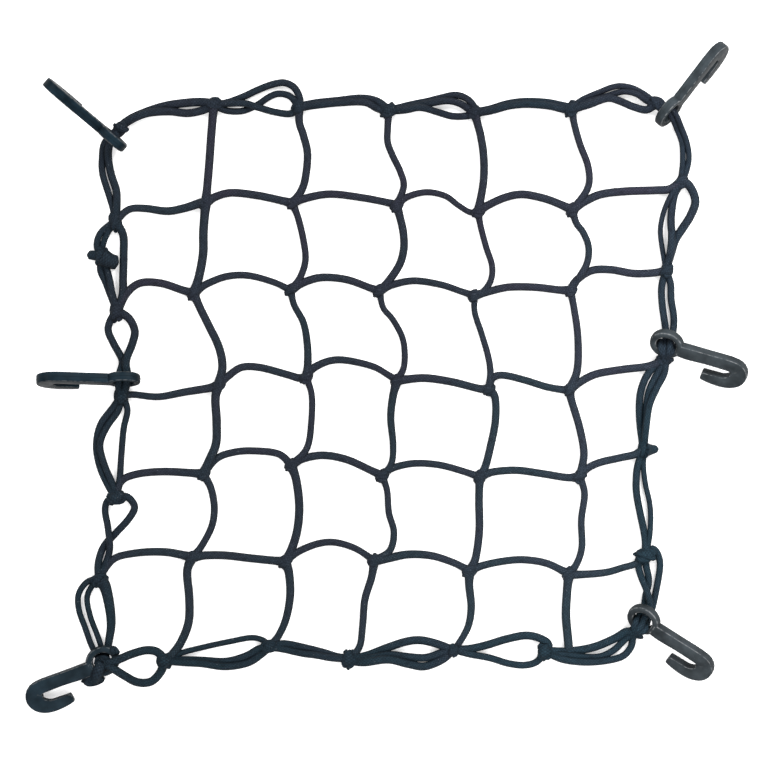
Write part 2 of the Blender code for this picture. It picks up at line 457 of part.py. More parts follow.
def hook_axes(hook: Hook) -> tuple:
    """The hook's u, v and w directions: along the shank, towards the curl, and through it."""
    lean = math.radians(hook.lean)
    fall = (CURL_DROP - EYE_OUTER * EYE_OVAL) * math.sin(lean)
    rise = math.asin(fall / CURL_REACH) + math.radians(hook.tip)
    flat = Vector((hook.heading[0], hook.heading[1], 0.0)).normalized()
    up = Vector((0.0, 0.0, 1.0))
    u = flat * math.cos(rise) + up * math.sin(rise)
    down = flat * math.sin(rise) - up * math.cos(rise)
    sideways = Vector((-flat.y, flat.x, 0.0)) * hook.side
    v = sideways * math.cos(lean) + down * math.sin(lean)
    return u, v, u.cross(v)


def finish_mesh(mesh: bmesh.types.BMesh, name: str) -> bpy.types.Object:
    """Turn a build in millimetres into an object in metres, faces pointing out."""
    for vert in mesh.verts:
        vert.co = (vert.co + Vector((NET_SHIFT[0], NET_SHIFT[1], 0.0))) * MM
    bmesh.ops.recalc_face_normals(mesh, faces=mesh.faces)
    data = bpy.data.meshes.new(name)
    mesh.to_mesh(data)
    mesh.free()
    thing = bpy.data.objects.new(name, data)
    bpy.context.scene.collection.objects.link(thing)
    return thing


def apply_boolean(base: bpy.types.Object, tool: bpy.types.Object, operation: str,
                  solver: str = "EXACT") -> None:
    """Join the tool to the base or cut it away, and drop the tool."""
    step = base.modifiers.new(operation.lower(), "BOOLEAN")
    step.operation = operation
    step.solver = solver
    if solver == "EXACT":
        step.use_self = operation == "UNION"
    step.object = tool
    graph = bpy.context.evaluated_depsgraph_get()
    graph.update()
    result = bpy.data.meshes.new_from_object(base.evaluated_get(graph))
    base.modifiers.clear()
    base.data = result
    bpy.data.objects.remove(tool, do_unlink=True)


def seat_height(u: Vector, v: Vector, w: Vector) -> float:
    """The height of the eye's centre at which the hook's lowest point touches the floor."""
    mesh = bmesh.new()
    add_eye(mesh, 0.0)
    add_bar(mesh, 0.0)
    lowest = min(u.z * vert.co.x + v.z * vert.co.y + w.z * vert.co.z for vert in mesh.verts)
    mesh.free()
    return -lowest


def make_hook(name: str, hook: Hook, grow: float) -> bpy.types.Object:
    """Make one hook, set down so that its lowest point touches the floor."""
    u, v, w = hook_axes(hook)
    place = Vector((hook.x, hook.y, seat_height(u, v, w)))
    shells = []
    for add_shell in (add_eye, add_bar):
        mesh = bmesh.new()
        add_shell(mesh, grow)
        for vert in mesh.verts:
            vert.co = u * vert.co.x + v * vert.co.y + w * vert.co.z + place
        shells.append(mesh)
    body = finish_mesh(shells[0], name)
    apply_boolean(body, finish_mesh(shells[1], name + "_bar"), "UNION")
    return body


def cord_work(name: str, cords: tuple, knots: dict, grow: float) -> bpy.types.Object:
    """Fuse runs of cord and their knots into one body."""
    tubes = bmesh.new()
    for order, cord in enumerate(cords):
        add_cord(tubes, cord, order, grow)
    lumps = bmesh.new()
    for knot in knots.values():
        add_knot(lumps, knot, grow)
    body = finish_mesh(tubes, name)
    apply_boolean(body, finish_mesh(lumps, name + "_knots"), "UNION")
    return body


def keep_largest(thing: bpy.types.Object) -> None:
    """Drop the scraps that a cut leaves, keeping the body with the most faces."""
    mesh = bmesh.new()
    mesh.from_mesh(thing.data)
    waiting = set(mesh.faces)
    bodies = []
    while waiting:
        body = {waiting.pop()}
        edge_of_search = list(body)
        while edge_of_search:
            face = edge_of_search.pop()
            for edge in face.edges:
                for neighbour in edge.link_faces:
                    if neighbour in waiting:
                        waiting.discard(neighbour)
                        body.add(neighbour)
                        edge_of_search.append(neighbour)
        bodies.append(body)
    bodies.sort(key=len)
    scraps = [face for body in bodies[:-1] for face in body]
    bmesh.ops.delete(mesh, geom=scraps, context="FACES")
    mesh.to_mesh(thing.data)
    mesh.free()


def make_material(name: str, colour: tuple, roughness: float) -> bpy.types.Material:
    """A plain Principled material."""
    material = bpy.data.materials.new(name)
    material.use_nodes = True
    shader = material.node_tree.nodes["Principled BSDF"]
    shader.inputs["Base Color"].default_value = (*colour, 1.0)
    shader.inputs["Roughness"].default_value = roughness
    shader.inputs["Metallic"].default_value = 0.0
    return material


def dress(thing: bpy.types.Object, material: bpy.types.Material) -> None:
    """Give an object its material and smooth its round faces."""
    thing.data.materials.clear()
    thing.data.materials.append(material)
    thing.data.shade_smooth()
    thing.data.set_sharp_from_angle(angle=SHARP_ANGLE)


def main() -> None:
    """Build the net, its rim and its hooks."""
    for thing in list(bpy.data.objects):
        bpy.data.objects.remove(thing, do_unlink=True)
    inner_finish = make_material("inner_cord", (0.030, 0.031, 0.045), 0.75)
    rim_finish = make_material("rim_cord", (0.012, 0.024, 0.036), 0.75)
    hook_finish = make_material("hook_plastic", (0.030, 0.042, 0.050), 0.40)

    rim = cord_work("rim_cord", RIM_CORDS, RIM_KNOTS, 0.0)
    for name, hook in HOOKS.items():
        apply_boolean(rim, make_hook(name + "_room", hook, GAP), "DIFFERENCE", "MANIFOLD")
    keep_largest(rim)
    dress(rim, rim_finish)

    inner = cord_work("net_mesh", INNER_CORDS, INNER_KNOTS, 0.0)
    room = cord_work("rim_room", RIM_CORDS, RIM_KNOTS, GAP)
    apply_boolean(inner, room, "DIFFERENCE", "MANIFOLD")
    keep_largest(inner)
    dress(inner, inner_finish)

    for name, hook in HOOKS.items():
        dress(make_hook(name, hook, 0.0), hook_finish)


main()
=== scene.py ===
"""Elastic cargo net laid flat: knotted inner cords, a doubled knotted rim and six moulded J hooks.

Every table is in millimetres, seen from above: +X is right, +Y is up the net and +Z is away from
the floor.  A cord's route is a smooth curve through listed points, the same as in the frame.
"""
import logging
import math
from dataclasses import dataclass, field
from enum import Enum
from typing import NamedTuple

import bmesh
import bpy
import numpy as np
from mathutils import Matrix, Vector


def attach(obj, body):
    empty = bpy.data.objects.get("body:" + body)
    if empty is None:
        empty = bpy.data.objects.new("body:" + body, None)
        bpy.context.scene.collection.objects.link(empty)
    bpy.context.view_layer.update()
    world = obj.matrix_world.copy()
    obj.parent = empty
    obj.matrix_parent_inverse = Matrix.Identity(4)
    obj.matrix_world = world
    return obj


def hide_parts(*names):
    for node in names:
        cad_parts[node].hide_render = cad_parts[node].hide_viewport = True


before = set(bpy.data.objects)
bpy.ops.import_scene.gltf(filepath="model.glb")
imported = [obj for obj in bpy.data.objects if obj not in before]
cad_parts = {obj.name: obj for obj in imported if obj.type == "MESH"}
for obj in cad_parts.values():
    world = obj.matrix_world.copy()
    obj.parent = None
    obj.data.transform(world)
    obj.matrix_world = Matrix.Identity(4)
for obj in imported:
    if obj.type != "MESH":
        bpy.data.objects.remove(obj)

Socket = bpy.types.NodeSocket
Tree = bpy.types.NodeTree

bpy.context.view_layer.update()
LOG = logging.getLogger("cargo_net")
MM = 0.001
BODY = "root"

# Place of the net's own middle in the frame, so that the whole part is centred over the origin.
NET_SHIFT = (2.4, 0.7)

# Points worked out on each stretch of a curve, and the fewest steps that a curve is cut into.
CURVE_SAMPLES = 16
FEWEST_STEPS = 4


class Slot(Enum):
    """The record's material slots."""

    INNER = "inner_cord"
    RIM = "rim_cord"
    HOOK = "hook_plastic"


class Knot(NamedTuple):
    """A knot's place, its length and width, the direction of its length in degrees, and its lift."""

    x: float
    y: float
    long: float
    wide: float
    turn: float
    lift: float = 0.0


class Cord(NamedTuple):
    """A run of cord: its ends, its width, the points (x, y[, lift]) it passes and its last width."""

    first: str
    last: str
    wide: float
    via: tuple
    last_wide: float = 0.0


class Station(NamedTuple):
    """A place on the middle line of the hook's bar, with the bar's width there."""

    u: float
    v: float
    wide: float


class Hook(NamedTuple):
    """A hook's eye, its heading, the side it curls to, and how it leans and tips."""

    x: float
    y: float
    heading: tuple
    side: int
    lean: float
    tip: float


INNER_KNOTS = {
    "K11": Knot(-125.5, 118.6, 10.6, 8.8, 50), "K21": Knot(-66.6, 118.4, 10.0, 8.2, 55),
    "K31": Knot(4.2, 116.8, 10.6, 9.0, 62), "K41": Knot(59.6, 112.8, 10.2, 9.2, 48),
    "K51": Knot(123.6, 113.8, 10.8, 8.8, 62),
    "K12": Knot(-133.6, 57.0, 11.2, 9.0, 55), "K22": Knot(-67.8, 59.4, 10.2, 8.2, 50),
    "K32": Knot(-7.4, 58.8, 10.8, 9.0, 50), "K42": Knot(57.0, 55.6, 10.0, 9.0, 60),
    "K52": Knot(122.4, 59.2, 10.0, 9.0, 60),
    "K13": Knot(-116.6, -4.6, 10.2, 9.4, 60), "K23": Knot(-57.2, 0.4, 11.0, 9.0, 50),
    "K33": Knot(4.4, -2.0, 9.8, 8.8, 45), "K43": Knot(67.0, -8.0, 10.0, 8.8, 52),
    "K53": Knot(121.9, -8.2, 10.2, 9.0, 62),
    "K14": Knot(-127.2, -65.6, 10.4, 8.8, 50), "K24": Knot(-67.4, -59.6, 10.4, 8.6, 50),
    "K34": Knot(-5.6, -66.8, 10.6, 8.8, 50), "K44": Knot(60.6, -67.6, 10.2, 9.2, 62),
    "K54": Knot(128.6, -67.2, 11.0, 9.4, 40),
    "K15": Knot(-135.0, -122.5, 10.4, 9.0, 46), "K25": Knot(-71.6, -125.0, 11.4, 9.2, 50),
    "K35": Knot(-11.0, -124.4, 10.4, 9.6, 60), "K45": Knot(53.8, -131.4, 11.4, 9.4, 44),
    "K55": Knot(121.2, -133.4, 10.4, 8.8, 56),
}

RIM_KNOTS = {
    "T1": Knot(-120.0, 185.4, 12.0, 10.6, 20), "T2": Knot(-62.2, 183.6, 11.6, 10.2, 60),
    "T3": Knot(-1.2, 181.4, 12.8, 10.6, 40), "T4": Knot(57.2, 180.0, 11.0, 9.6, 30),
    "T5": Knot(123.2, 182.6, 12.6, 9.6, 58),
    "L1": Knot(-187.0, 106.0, 13.4, 9.8, 95), "L2": Knot(-185.8, 45.0, 14.4, 11.0, 80),
    "L3": Knot(-182.6, -12.4, 13.4, 11.4, 90), "L4": Knot(-186.5, -81.8, 13.2, 11.6, 20),
    "L5": Knot(-197.8, -137.4, 13.0, 10.6, 40),
    "R1": Knot(197.6, 133.2, 11.2, 9.6, 60), "R3": Knot(186.5, 12.6, 12.0, 10.0, 10),
    "R4": Knot(172.0, -49.0, 12.4, 8.4, 90), "R5": Knot(173.6, -120.6, 15.0, 10.4, 0),
    "B1": Knot(-153.4, -192.5, 12.0, 12.0, 90), "B2": Knot(-82.4, -182.8, 12.4, 10.4, 30),
    "B3": Knot(-28.2, -191.2, 13.6, 11.6, 90), "B5": Knot(104.8, -186.2, 12.2, 12.6, 90),
    "TR": Knot(180.4, 186.2, 12.0, 10.6, 150), "CK": Knot(-196.2, 82.2, 14.0, 12.0, 80),
}

# Places where runs of cord meet with no knot: (x, y, lift of the cords' underside).
MEETINGS = {
    "R2": (187.2, 73.0, 0.0),
    "B4": (42.6, -185.2, 0.0),
    "B6": (121.3, -187.5, 0.0),
    "TL": (-184.2, 169.4, 3.4),
    "BR": (165.2, -173.0, 4.6),
    "BL": (-195.4, -193.2, 4.6),
    "stub_left": (-206.4, 83.4, 0.0),
    "stub_right": (-184.6, 77.6, 0.0),
    "stub_side": (182.4, -48.6, 0.0),
    "stub_low": (-203.4, -206.6, 0.0),
    "stub_eye_left": (183.8, 26.0, 2.2),
    "stub_eye_right": (193.0, 22.8, 2.4),
    "stub_wrap_top": (-186.4, 167.2, 3.8),
    "stub_wrap_low": (-193.4, -191.6, 3.8),
}

INNER_CORDS = (
    Cord("L1", "K11", 4.2, ((-178, 114.2), (-167, 115), (-152, 113.1), (-140, 115.2), (-131, 118)), 5.6),
    Cord("K11", "K21", 5.0, ((-119, 122.8), (-108, 125.6), (-90, 123.7), (-72, 119.8))),
    Cord("K21", "K31", 5.0, ((-60, 121.2), (-42, 124.7), (-20, 122.4), (0, 118.5)), 4.5),
    Cord("K31", "K41", 4.4, ((11, 122.6), (24, 126), (37, 123.6), (46, 117.2), (54, 112.4)), 3.5),
    Cord("K41", "K51", 5.0, ((66, 117), (78, 122.4), (90, 124.5), (105, 121.6), (117, 117))),
    Cord("K51", "R1", 5.1, ((131, 119), (143, 124.5), (160, 126.6), (180, 127.3), (190, 128.2))),
    Cord("L2", "K12", 4.9, ((-179, 57.6), (-170, 64.3), (-156, 64.1), (-142, 59.6))),
    Cord("K12", "K22", 4.8, ((-126, 63), (-112, 68.6), (-97, 69.4), (-80, 65)), 3.9),
    Cord("K22", "K32", 5.2, ((-60, 64.2), (-47, 68), (-30, 66.6), (-14, 61)), 4.5),
    Cord("K32", "K42", 4.7, ((1, 62.9), (16, 65.8), (34, 63.2), (48, 58.6)), 4.0),
    Cord("K42", "K52", 4.8, ((66, 58.2), (80, 61.4), (98, 61.4), (114, 59.6))),
    Cord("K52", "R2", 4.9, ((127, 66.6), (137, 72.8), (150, 73.3), (165, 70.8), (179, 71.2))),
    Cord("L3", "K13", 3.9, ((-175, -11.6), (-158, -13.1), (-140, -9.9), (-122, -6.9)), 5.3),
    Cord("K13", "K23", 4.7, ((-110, 1.2), (-101, 7), (-88, 6.7), (-70, 1.9), (-62, -0.4))),
    Cord("K23", "K33", 5.0, ((-53, 6), (-42, 11.2), (-30, 11.7), (-12, 7.5), (-1, 1.4)), 3.9),
    Cord("K33", "K43", 5.2, ((10, -1.4), (24, -0.4), (42, -3), (60, -7.5)), 4.7),
    Cord("K43", "K53", 4.5, ((69, -0.8), (76, 1.6), (90, -1.4), (106, -6.3), (117, -8.2))),
    Cord("K53", "R3", 4.9, ((129, -3), (140, 2.4), (158, 5.5), (176, 7.8))),
    Cord("L4", "K14", 4.5, ((-183, -70.4), (-172, -65.6), (-155, -64), (-138, -64.7)), 5.1),
    Cord("K14", "K24", 4.5, ((-118, -55), (-106, -50.7), (-92, -49.9), (-76, -52))),
    Cord("K24", "K34", 5.0, ((-60, -55.4), (-46, -52.9), (-30, -55.7), (-14, -62.8)), 4.7),
    Cord("K34", "K44", 4.5, ((1, -61.8), (16, -58.4), (34, -59.6), (52, -64.6)), 4.2),
    Cord("K44", "K54", 4.7, ((70, -64.2), (86, -63.1), (104, -65.5), (120, -68))),
    Cord("K54", "R4", 4.7, ((133, -62.3), (142, -57.9), (156, -54.6), (166, -52.4))),
    Cord("L5", "K15", 4.2, ((-193.5, -129.3), (-186, -122.2), (-170, -119), (-153, -118.7), (-140, -121)),
         5.3),
    Cord("K15", "K25", 5.1, ((-126, -121), (-112, -121), (-95, -122.9), (-80, -124.4))),
    Cord("K25", "K35", 4.7, ((-63, -118.6), (-50, -113.2), (-38, -112.1), (-24, -116.2)), 4.0),
    Cord("K35", "K45", 5.5, ((-2, -123), (12, -120.3), (28, -121.2), (43, -126)), 4.3),
    Cord("K45", "K55", 4.6, ((63, -127.8), (76, -125), (90, -123.9), (106, -126.3))),
    Cord("K55", "R5", 5.0, ((128, -134), (146, -132.6), (158, -129.3), (167, -126.5)), 4.0),
    Cord("T1", "K11", 5.2, ((-121.6, 168), (-123.5, 142))),
    Cord("K11", "K12", 5.5, ((-127.1, 100), (-127.4, 84), (-130.1, 69))),
    Cord("K12", "K13", 4.9, ((-129.6, 47.5), (-123.6, 35.4), (-116.8, 21), (-114.3, 8)), 5.3),
    Cord("K13", "K14", 5.4, ((-119, -14), (-118.2, -30), (-118.6, -45), (-123, -56))),
    Cord("K14", "K15", 4.6, ((-122.2, -75), (-119.8, -88), (-121.5, -101), (-128.4, -114.5)), 4.2),
    Cord("K15", "B1", 5.3, ((-138.2, -132), (-136.8, -150), (-137.2, -166), (-142.2, -179.5), (-149, -189))),
    Cord("T2", "K21", 4.8, ((-61.9, 173), (-59.3, 165), (-56.4, 152), (-57.8, 136), (-60.6, 127))),
    Cord("K21", "K22", 4.2, ((-62.8, 108.5), (-59.3, 94), (-57.8, 80), (-61.4, 68))),
    Cord("K22", "K23", 3.9, ((-65.6, 49.5), (-59.1, 37), (-56.5, 22), (-56.3, 8)), 5.0),
    Cord("K23", "K24", 3.9, ((-53.6, -12), (-53.8, -30), (-56.8, -48)), 4.3),
    Cord("K24", "K25", 5.3, ((-64, -70), (-62, -88), (-63.6, -105), (-68, -118.5))),
    Cord("K25", "B2", 5.5, ((-69, -133), (-68.2, -148), (-71, -164), (-76.4, -176)), 4.3),
    Cord("T3", "K31", 4.3, ((-1.9, 170), (-1.9, 160), (1.4, 151), (6.5, 140.4), (9.0, 130)), 4.1),
    Cord("K31", "K32", 4.9, ((6.7, 108), (8.8, 98), (9, 87), (5.8, 76), (-2.5, 64))),
    Cord("K32", "K33", 3.7, ((-5, 47.5), (2, 38.8), (8.7, 25), (9.3, 8)), 4.0),
    Cord("K33", "K34", 5.2, ((1.5, -14), (0.2, -28), (1.8, -46), (0.6, -58.5)), 3.7),
    Cord("K34", "K35", 3.9, ((-2.3, -77), (-1.1, -92), (2.3, -105), (-0.4, -117.5)), 4.4),
    Cord("K35", "B3", 5.0, ((-12.9, -136), (-17.4, -151), (-18.9, -168), (-21, -183)), 4.1),
    Cord("T4", "K41", 4.9, ((58.8, 174), (61.4, 164), (63.4, 150), (63.2, 133))),
    Cord("K41", "K42", 3.9, ((61.3, 103), (65, 89), (69.1, 76), (68.2, 66), (63, 58.5))),
    Cord("K42", "K43", 3.6, ((57.4, 44), (61.9, 30), (66.3, 15), (67.9, 4)), 4.2),
    Cord("K43", "K44", 4.7, ((71.2, -14), (71.3, -30), (68, -47), (64.2, -61.5)), 4.9),
    Cord("K44", "K45", 4.9, ((60.2, -84), (60.4, -104), (57.9, -122.5))),
    Cord("K45", "B4", 5.4, ((53.5, -141), (54.9, -156), (52.9, -169), (47, -180)), 3.9),
    Cord("T5", "K51", 4.3, ((125.1, 172), (128.9, 158.5), (134.5, 143), (134.2, 129))),
    Cord("K51", "K52", 4.2, ((126.4, 105), (131.2, 98.4), (134.7, 89), (133.8, 78.4), (127.8, 67.6))),
    Cord("K52", "K53", 4.2, ((125, 46), (127.4, 28), (127.1, 6)), 5.0),
    Cord("K53", "K54", 4.8, ((122.9, -15), (128.3, -33), (131.5, -50), (130.2, -61))),
    Cord("K54", "K55", 4.3, ((132, -79), (129.8, -97), (130.2, -115), (126.7, -126.5))),
    Cord("K55", "B6", 5.4, ((120, -146), (119.3, -162), (120.7, -178))),
)

RIM_CORDS = (
    Cord("TL", "T1", 5.4, ((-178, 175), (-168, 179.8), (-154, 184.4), (-140, 186.6), (-128, 187.2))),
    Cord("TL", "T1", 5.0, ((-177, 174.4), (-165, 179.2), (-150, 180.6), (-138, 179.7), (-128, 181.6))),
    Cord("T1", "T2", 4.4, ((-111, 187), (-100, 191), (-90, 195.7), (-80, 199.4), (-72, 200.4), (-65.3, 197),
         (-61.8, 190))),
    Cord("T1", "T2", 4.1, ((-112, 181.6), (-101, 181.2), (-91, 185.2), (-83, 190.5), (-76, 193), (-68, 191))),
    Cord("T1", "T2", 4.3, ((-111, 186), (-99, 186), (-90, 183.4), (-78, 180.4), (-68, 179.4))),
    Cord("T2", "T3", 4.8, ((-52, 186.5), (-35, 188.4), (-20, 189.9), (-9, 187.8))),
    Cord("T2", "T3", 4.5, ((-52, 184.6), (-35, 186.3), (-18, 186.8), (-9, 182.8))),
    Cord("T3", "T4", 4.3, ((12, 185.2), (25, 187.9), (35, 190.4), (44, 192.1), (51.6, 189.8), (56.2, 185))),
    Cord("T3", "T4", 4.5, ((12, 183), (25, 185.8), (38, 187.9), (47, 186.3), (54, 182))),
    Cord("T3", "T4", 4.4, ((10, 181.2), (20, 182.8), (32, 180.4), (42, 177.7), (52, 177.9))),
    Cord("T4", "T5", 4.8, ((68, 182.6), (80, 186.2), (92, 187.6), (106, 187), (117, 184.8))),
    Cord("T4", "T5", 4.7, ((68, 181), (80, 184.2), (92, 185.4), (106, 184.5), (117, 182.4))),
    Cord("T5", "TR", 3.8, ((130, 188.7), (142, 194), (150, 197.2), (157, 198.3), (165, 196.7), (173, 192.4))),
    Cord("T5", "TR", 3.8, ((131, 186.2), (145, 190.8), (158, 194.3), (167, 192.6), (174, 188.2))),
    Cord("T5", "TR", 4.8, ((134, 185), (147, 189.5), (156, 187.8), (165, 184.1), (174, 182))),
    Cord("TR", "R1", 3.6, ((186.6, 181, 5.6), (190.6, 176.8, 5.8), (195.2, 168), (198.3, 159), (198.8, 148),
         (198.1, 139))),
    Cord("TR", "R1", 3.6, ((188.4, 184, 5.6), (193, 178.8, 5.8), (198, 169), (201.6, 159), (203, 149.6),
         (201.2, 140))),
    Cord("R1", "R2", 5.3, ((203.4, 130), (207.3, 120), (204, 110), (198.6, 101.4), (193.6, 93.5), (190.6,
         84))),
    Cord("R1", "R2", 4.8, ((193, 124), (190.8, 109), (190.9, 96), (189.8, 84))),
    Cord("R1", "R2", 3.2, ((190.3, 123.4), (185.8, 112.5), (183.6, 101), (184.5, 90))),
    Cord("R2", "R3", 4.4, ((184.4, 62), (184.6, 51), (185.9, 41), (187, 33), (186.8, 25, 3.6), (185.4, 18.2,
         7.2))),
    Cord("R2", "R3", 4.4, ((190.4, 64), (190.9, 53), (192.6, 42), (192.4, 33.5), (190.2, 25, 3.6), (188.6,
         17.8, 7.2))),
    Cord("R3", "stub_eye_left", 4.4, ((183.6, 18.2, 7.2), (183.3, 22.4, 5.2))),
    Cord("R3", "stub_eye_right", 4.4, ((189.9, 16.8, 7.2), (192.2, 19.6, 5.4))),
    Cord("R3", "R4", 4.6, ((180.6, 9.3), (173.8, 0.3), (170.3, -9), (169.2, -19), (169.8, -33))),
    Cord("R3", "R4", 4.2, ((181.6, 3.2), (176.2, -7.8), (174.2, -18), (173.4, -32))),
    Cord("R3", "R4", 4.4, ((186.2, 3), (180.8, -7.4), (175.8, -18.6), (173.4, -32.6))),
    Cord("R4", "R5", 4.5, ((168.1, -60), (167, -71.5), (167.6, -81), (170.1, -94), (172.9, -108))),
    Cord("R4", "R5", 3.4, ((172, -61), (173.5, -73), (176, -84), (177, -95), (176.1, -108))),
    Cord("R5", "BR", 4.3, ((178, -116.4), (181.6, -119.6), (183.3, -126.5), (182.3, -136), (179.8, -149),
         (177.6, -158), (174.6, -165, 2.8), (172, -171.4, 7.6))),
    Cord("R5", "BR", 4.3, ((173.6, -127), (175.6, -138), (173.4, -149), (172.2, -157), (168.8, -161.8, 2.8),
         (165.6, -167.4, 7.4))),
    Cord("R5", "BR", 4.2, ((168.8, -127), (170.2, -135), (174, -145), (176, -155), (172, -163.6, 2.8), (168.8,
         -169.6, 7.8))),
    Cord("BR", "B5", 5.2, ((160, -172.8, 1.5), (152, -177.6), (138, -183.4), (122, -186.2), (113, -186.2))),
    Cord("BR", "B5", 4.2, ((159, -178.4, 0.8), (151.2, -185.8), (140, -190.2), (122, -188.8), (113, -188))),
    Cord("BR", "B5", 4.4, ((164.6, -177, 1.5), (163.3, -183.6), (158, -189.4), (149, -192), (134, -193.2),
         (117, -191.2))),
    Cord("B5", "B4", 5.0, ((107.4, -181.4), (101.6, -177.3), (92, -175.4), (79, -177.8), (65, -182), (54,
         -184.4))),
    Cord("B5", "B4", 4.3, ((99.6, -193.2), (91, -195.6), (80, -194.4), (68, -190.8), (54, -188))),
    Cord("B4", "B3", 5.1, ((31, -180.9), (20, -178.6), (10, -179.7), (-3, -184), (-17, -189.3))),
    Cord("B4", "B3", 4.8, ((35, -187), (24, -190.5), (11, -189.8), (-2, -188.4), (-18, -191.5))),
    Cord("B4", "B3", 5.1, ((35, -191.8), (23, -196.4), (12, -194.6), (-2, -191.1), (-20, -193.2))),
    Cord("B3", "B2", 4.4, ((-37, -189.5), (-45, -187), (-58, -183.7), (-72, -181))),
    Cord("B3", "B2", 4.4, ((-40, -190.4), (-50, -188.6), (-60, -187.4), (-72, -184.8))),
    Cord("B2", "B1", 3.6, ((-87, -178.6), (-95, -177), (-108, -179.3), (-125, -182.9), (-142, -187.3))),
    Cord("B2", "B1", 4.6, ((-90, -184.8), (-99, -189.6), (-112, -193), (-128, -192.3), (-142, -192))),
    Cord("B2", "B1", 4.6, ((-88.4, -188.6), (-97, -194), (-112, -196.3), (-128, -194.2), (-142, -193.4))),
    Cord("B1", "BL", 5.2, ((-158.5, -186.6), (-166, -185.4), (-175, -187.4, 4.4), (-182.4, -190.2, 9.2),
         (-187.8, -192.4, 9.4))),
    Cord("B1", "BL", 5.2, ((-156.7, -200.8), (-163, -206.8), (-172, -207, 1.6), (-180, -202.2, 7.0), (-187,
         -197.4, 9.4))),
    Cord("L5", "BL", 3.8, ((-206, -138.8), (-212, -147), (-211.9, -158), (-207.4, -171), (-203, -183),
         (-197.4, -192, 2.4))),
    Cord("L5", "BL", 3.6, ((-202.5, -141), (-206.4, -150), (-204, -163), (-199.5, -175), (-196.6, -184),
         (-195.4, -191, 2.4))),
    Cord("L5", "BL", 7.4, ((-194, -142), (-191, -155), (-189.9, -168), (-191.6, -180), (-193.6, -190, 2.4)),
         3.9),
    Cord("BL", "stub_low", 7.2, ((-198.4, -199.8, 4.6), (-200.6, -203.8, 1.0))),
    Cord("L4", "L5", 4.5, ((-179, -81.2), (-174, -88), (-177.9, -96), (-186.6, -105.6), (-195, -115), (-198.8,
         -127))),
    Cord("L4", "L5", 4.3, ((-192.4, -84), (-194.1, -91), (-191.8, -103), (-190.6, -116), (-195, -130))),
    Cord("L3", "L4", 4.4, ((-188.6, -20.4), (-197.1, -32), (-200, -46), (-197.8, -60), (-192.2, -73))),
    Cord("L3", "L4", 4.2, ((-185.5, -23), (-192.8, -33.5), (-197.2, -46), (-194, -60), (-189, -72))),
    Cord("L3", "L4", 4.0, ((-178.9, -22), (-181.5, -35), (-183, -52), (-184.2, -69))),
    Cord("L3", "L2", 4.7, ((-184.3, -5.4, 5.6), (-183.5, 3, 5.6), (-182.4, 11.6), (-188.2, 23), (-191.9,
         31.6), (-190.6, 38.4))),
    Cord("L3", "L2", 5.0, ((-179.2, -5.4, 5.6), (-178.4, 3, 5.6), (-179.4, 11.6), (-175.2, 24), (-173.9, 32),
         (-178, 40.4))),
    Cord("L2", "CK", 4.3, ((-190.4, 56), (-193.8, 65), (-197.2, 73))),
    Cord("L2", "CK", 4.2, ((-188.9, 57), (-190.6, 66), (-193, 74))),
    Cord("CK", "L1", 4.2, ((-199.7, 90), (-196.6, 99))),
    Cord("CK", "L1", 3.8, ((-195.6, 90), (-192.2, 98.6))),
    Cord("L2", "L1", 5.0, ((-182.2, 56), (-181.8, 68), (-181.4, 84), (-181.8, 97))),
    Cord("CK", "stub_left", 5.6, ((-201, 83),)),
    Cord("CK", "stub_right", 9.0, ((-190.0, 79),)),
    Cord("R4", "stub_side", 8.4, ((176.2, -49),), 4.0),
    Cord("TL", "stub_wrap_top", 8.0, ((-185.0, 168.6, 3.6),)),
    Cord("BL", "stub_wrap_low", 8.6, ((-194.6, -192.6, 4.2),)),
    Cord("L1", "TL", 4.2, ((-188.7, 115), (-191.4, 124), (-195.7, 138), (-196.2, 148), (-194.6, 157.6, 4.6),
         (-190, 163.8, 5.8))),
    Cord("L1", "TL", 4.9, ((-186, 117), (-186.4, 127), (-189.9, 138), (-191.8, 149), (-190.6, 157, 5.0),
         (-187.6, 162.4, 5.8))),
)

# The bar of the hook: out along the shank, round the curl and back along the leg to its tip.
HOOK_BAR = (
    Station(8.6, 1.6, 8.8), Station(16.0, 1.8, 9.6), Station(30.0, 1.4, 9.0), Station(41.0, 1.3, 9.2),
    Station(46.6, 1.6, 9.4), Station(50.6, 3.3, 10.8), Station(52.1, 7.2, 12.2), Station(51.2, 11.6, 10.8),
    Station(47.4, 14.8, 9.4), Station(42.4, 16.4, 8.2), Station(37.2, 16.5, 7.8), Station(32.0, 16.3, 7.0),
    Station(28.4, 15.9, 6.0),
)

HOOKS = {
    "hook_tl": Hook(-188.6, 162.1, (-0.766, 0.643), -1, 86.0, 0.0),
    "hook_ml": Hook(-180.8, -1.2, (-1.0, 0.03), 1, 76.0, 0.0),
    "hook_bl": Hook(-195.4, -192.4, (-0.935, -0.354), 1, 8.0, -2.0),
    "hook_tr": Hook(188.5, 180.2, (0.606, 0.795), -1, 72.0, 0.0),
    "hook_mr": Hook(187.3, 23.1, (0.957, -0.290), -1, 39.0, 0.0),
    "hook_br": Hook(171.7, -163.8, (0.842, -0.539), -1, 36.0, 0.0),
}

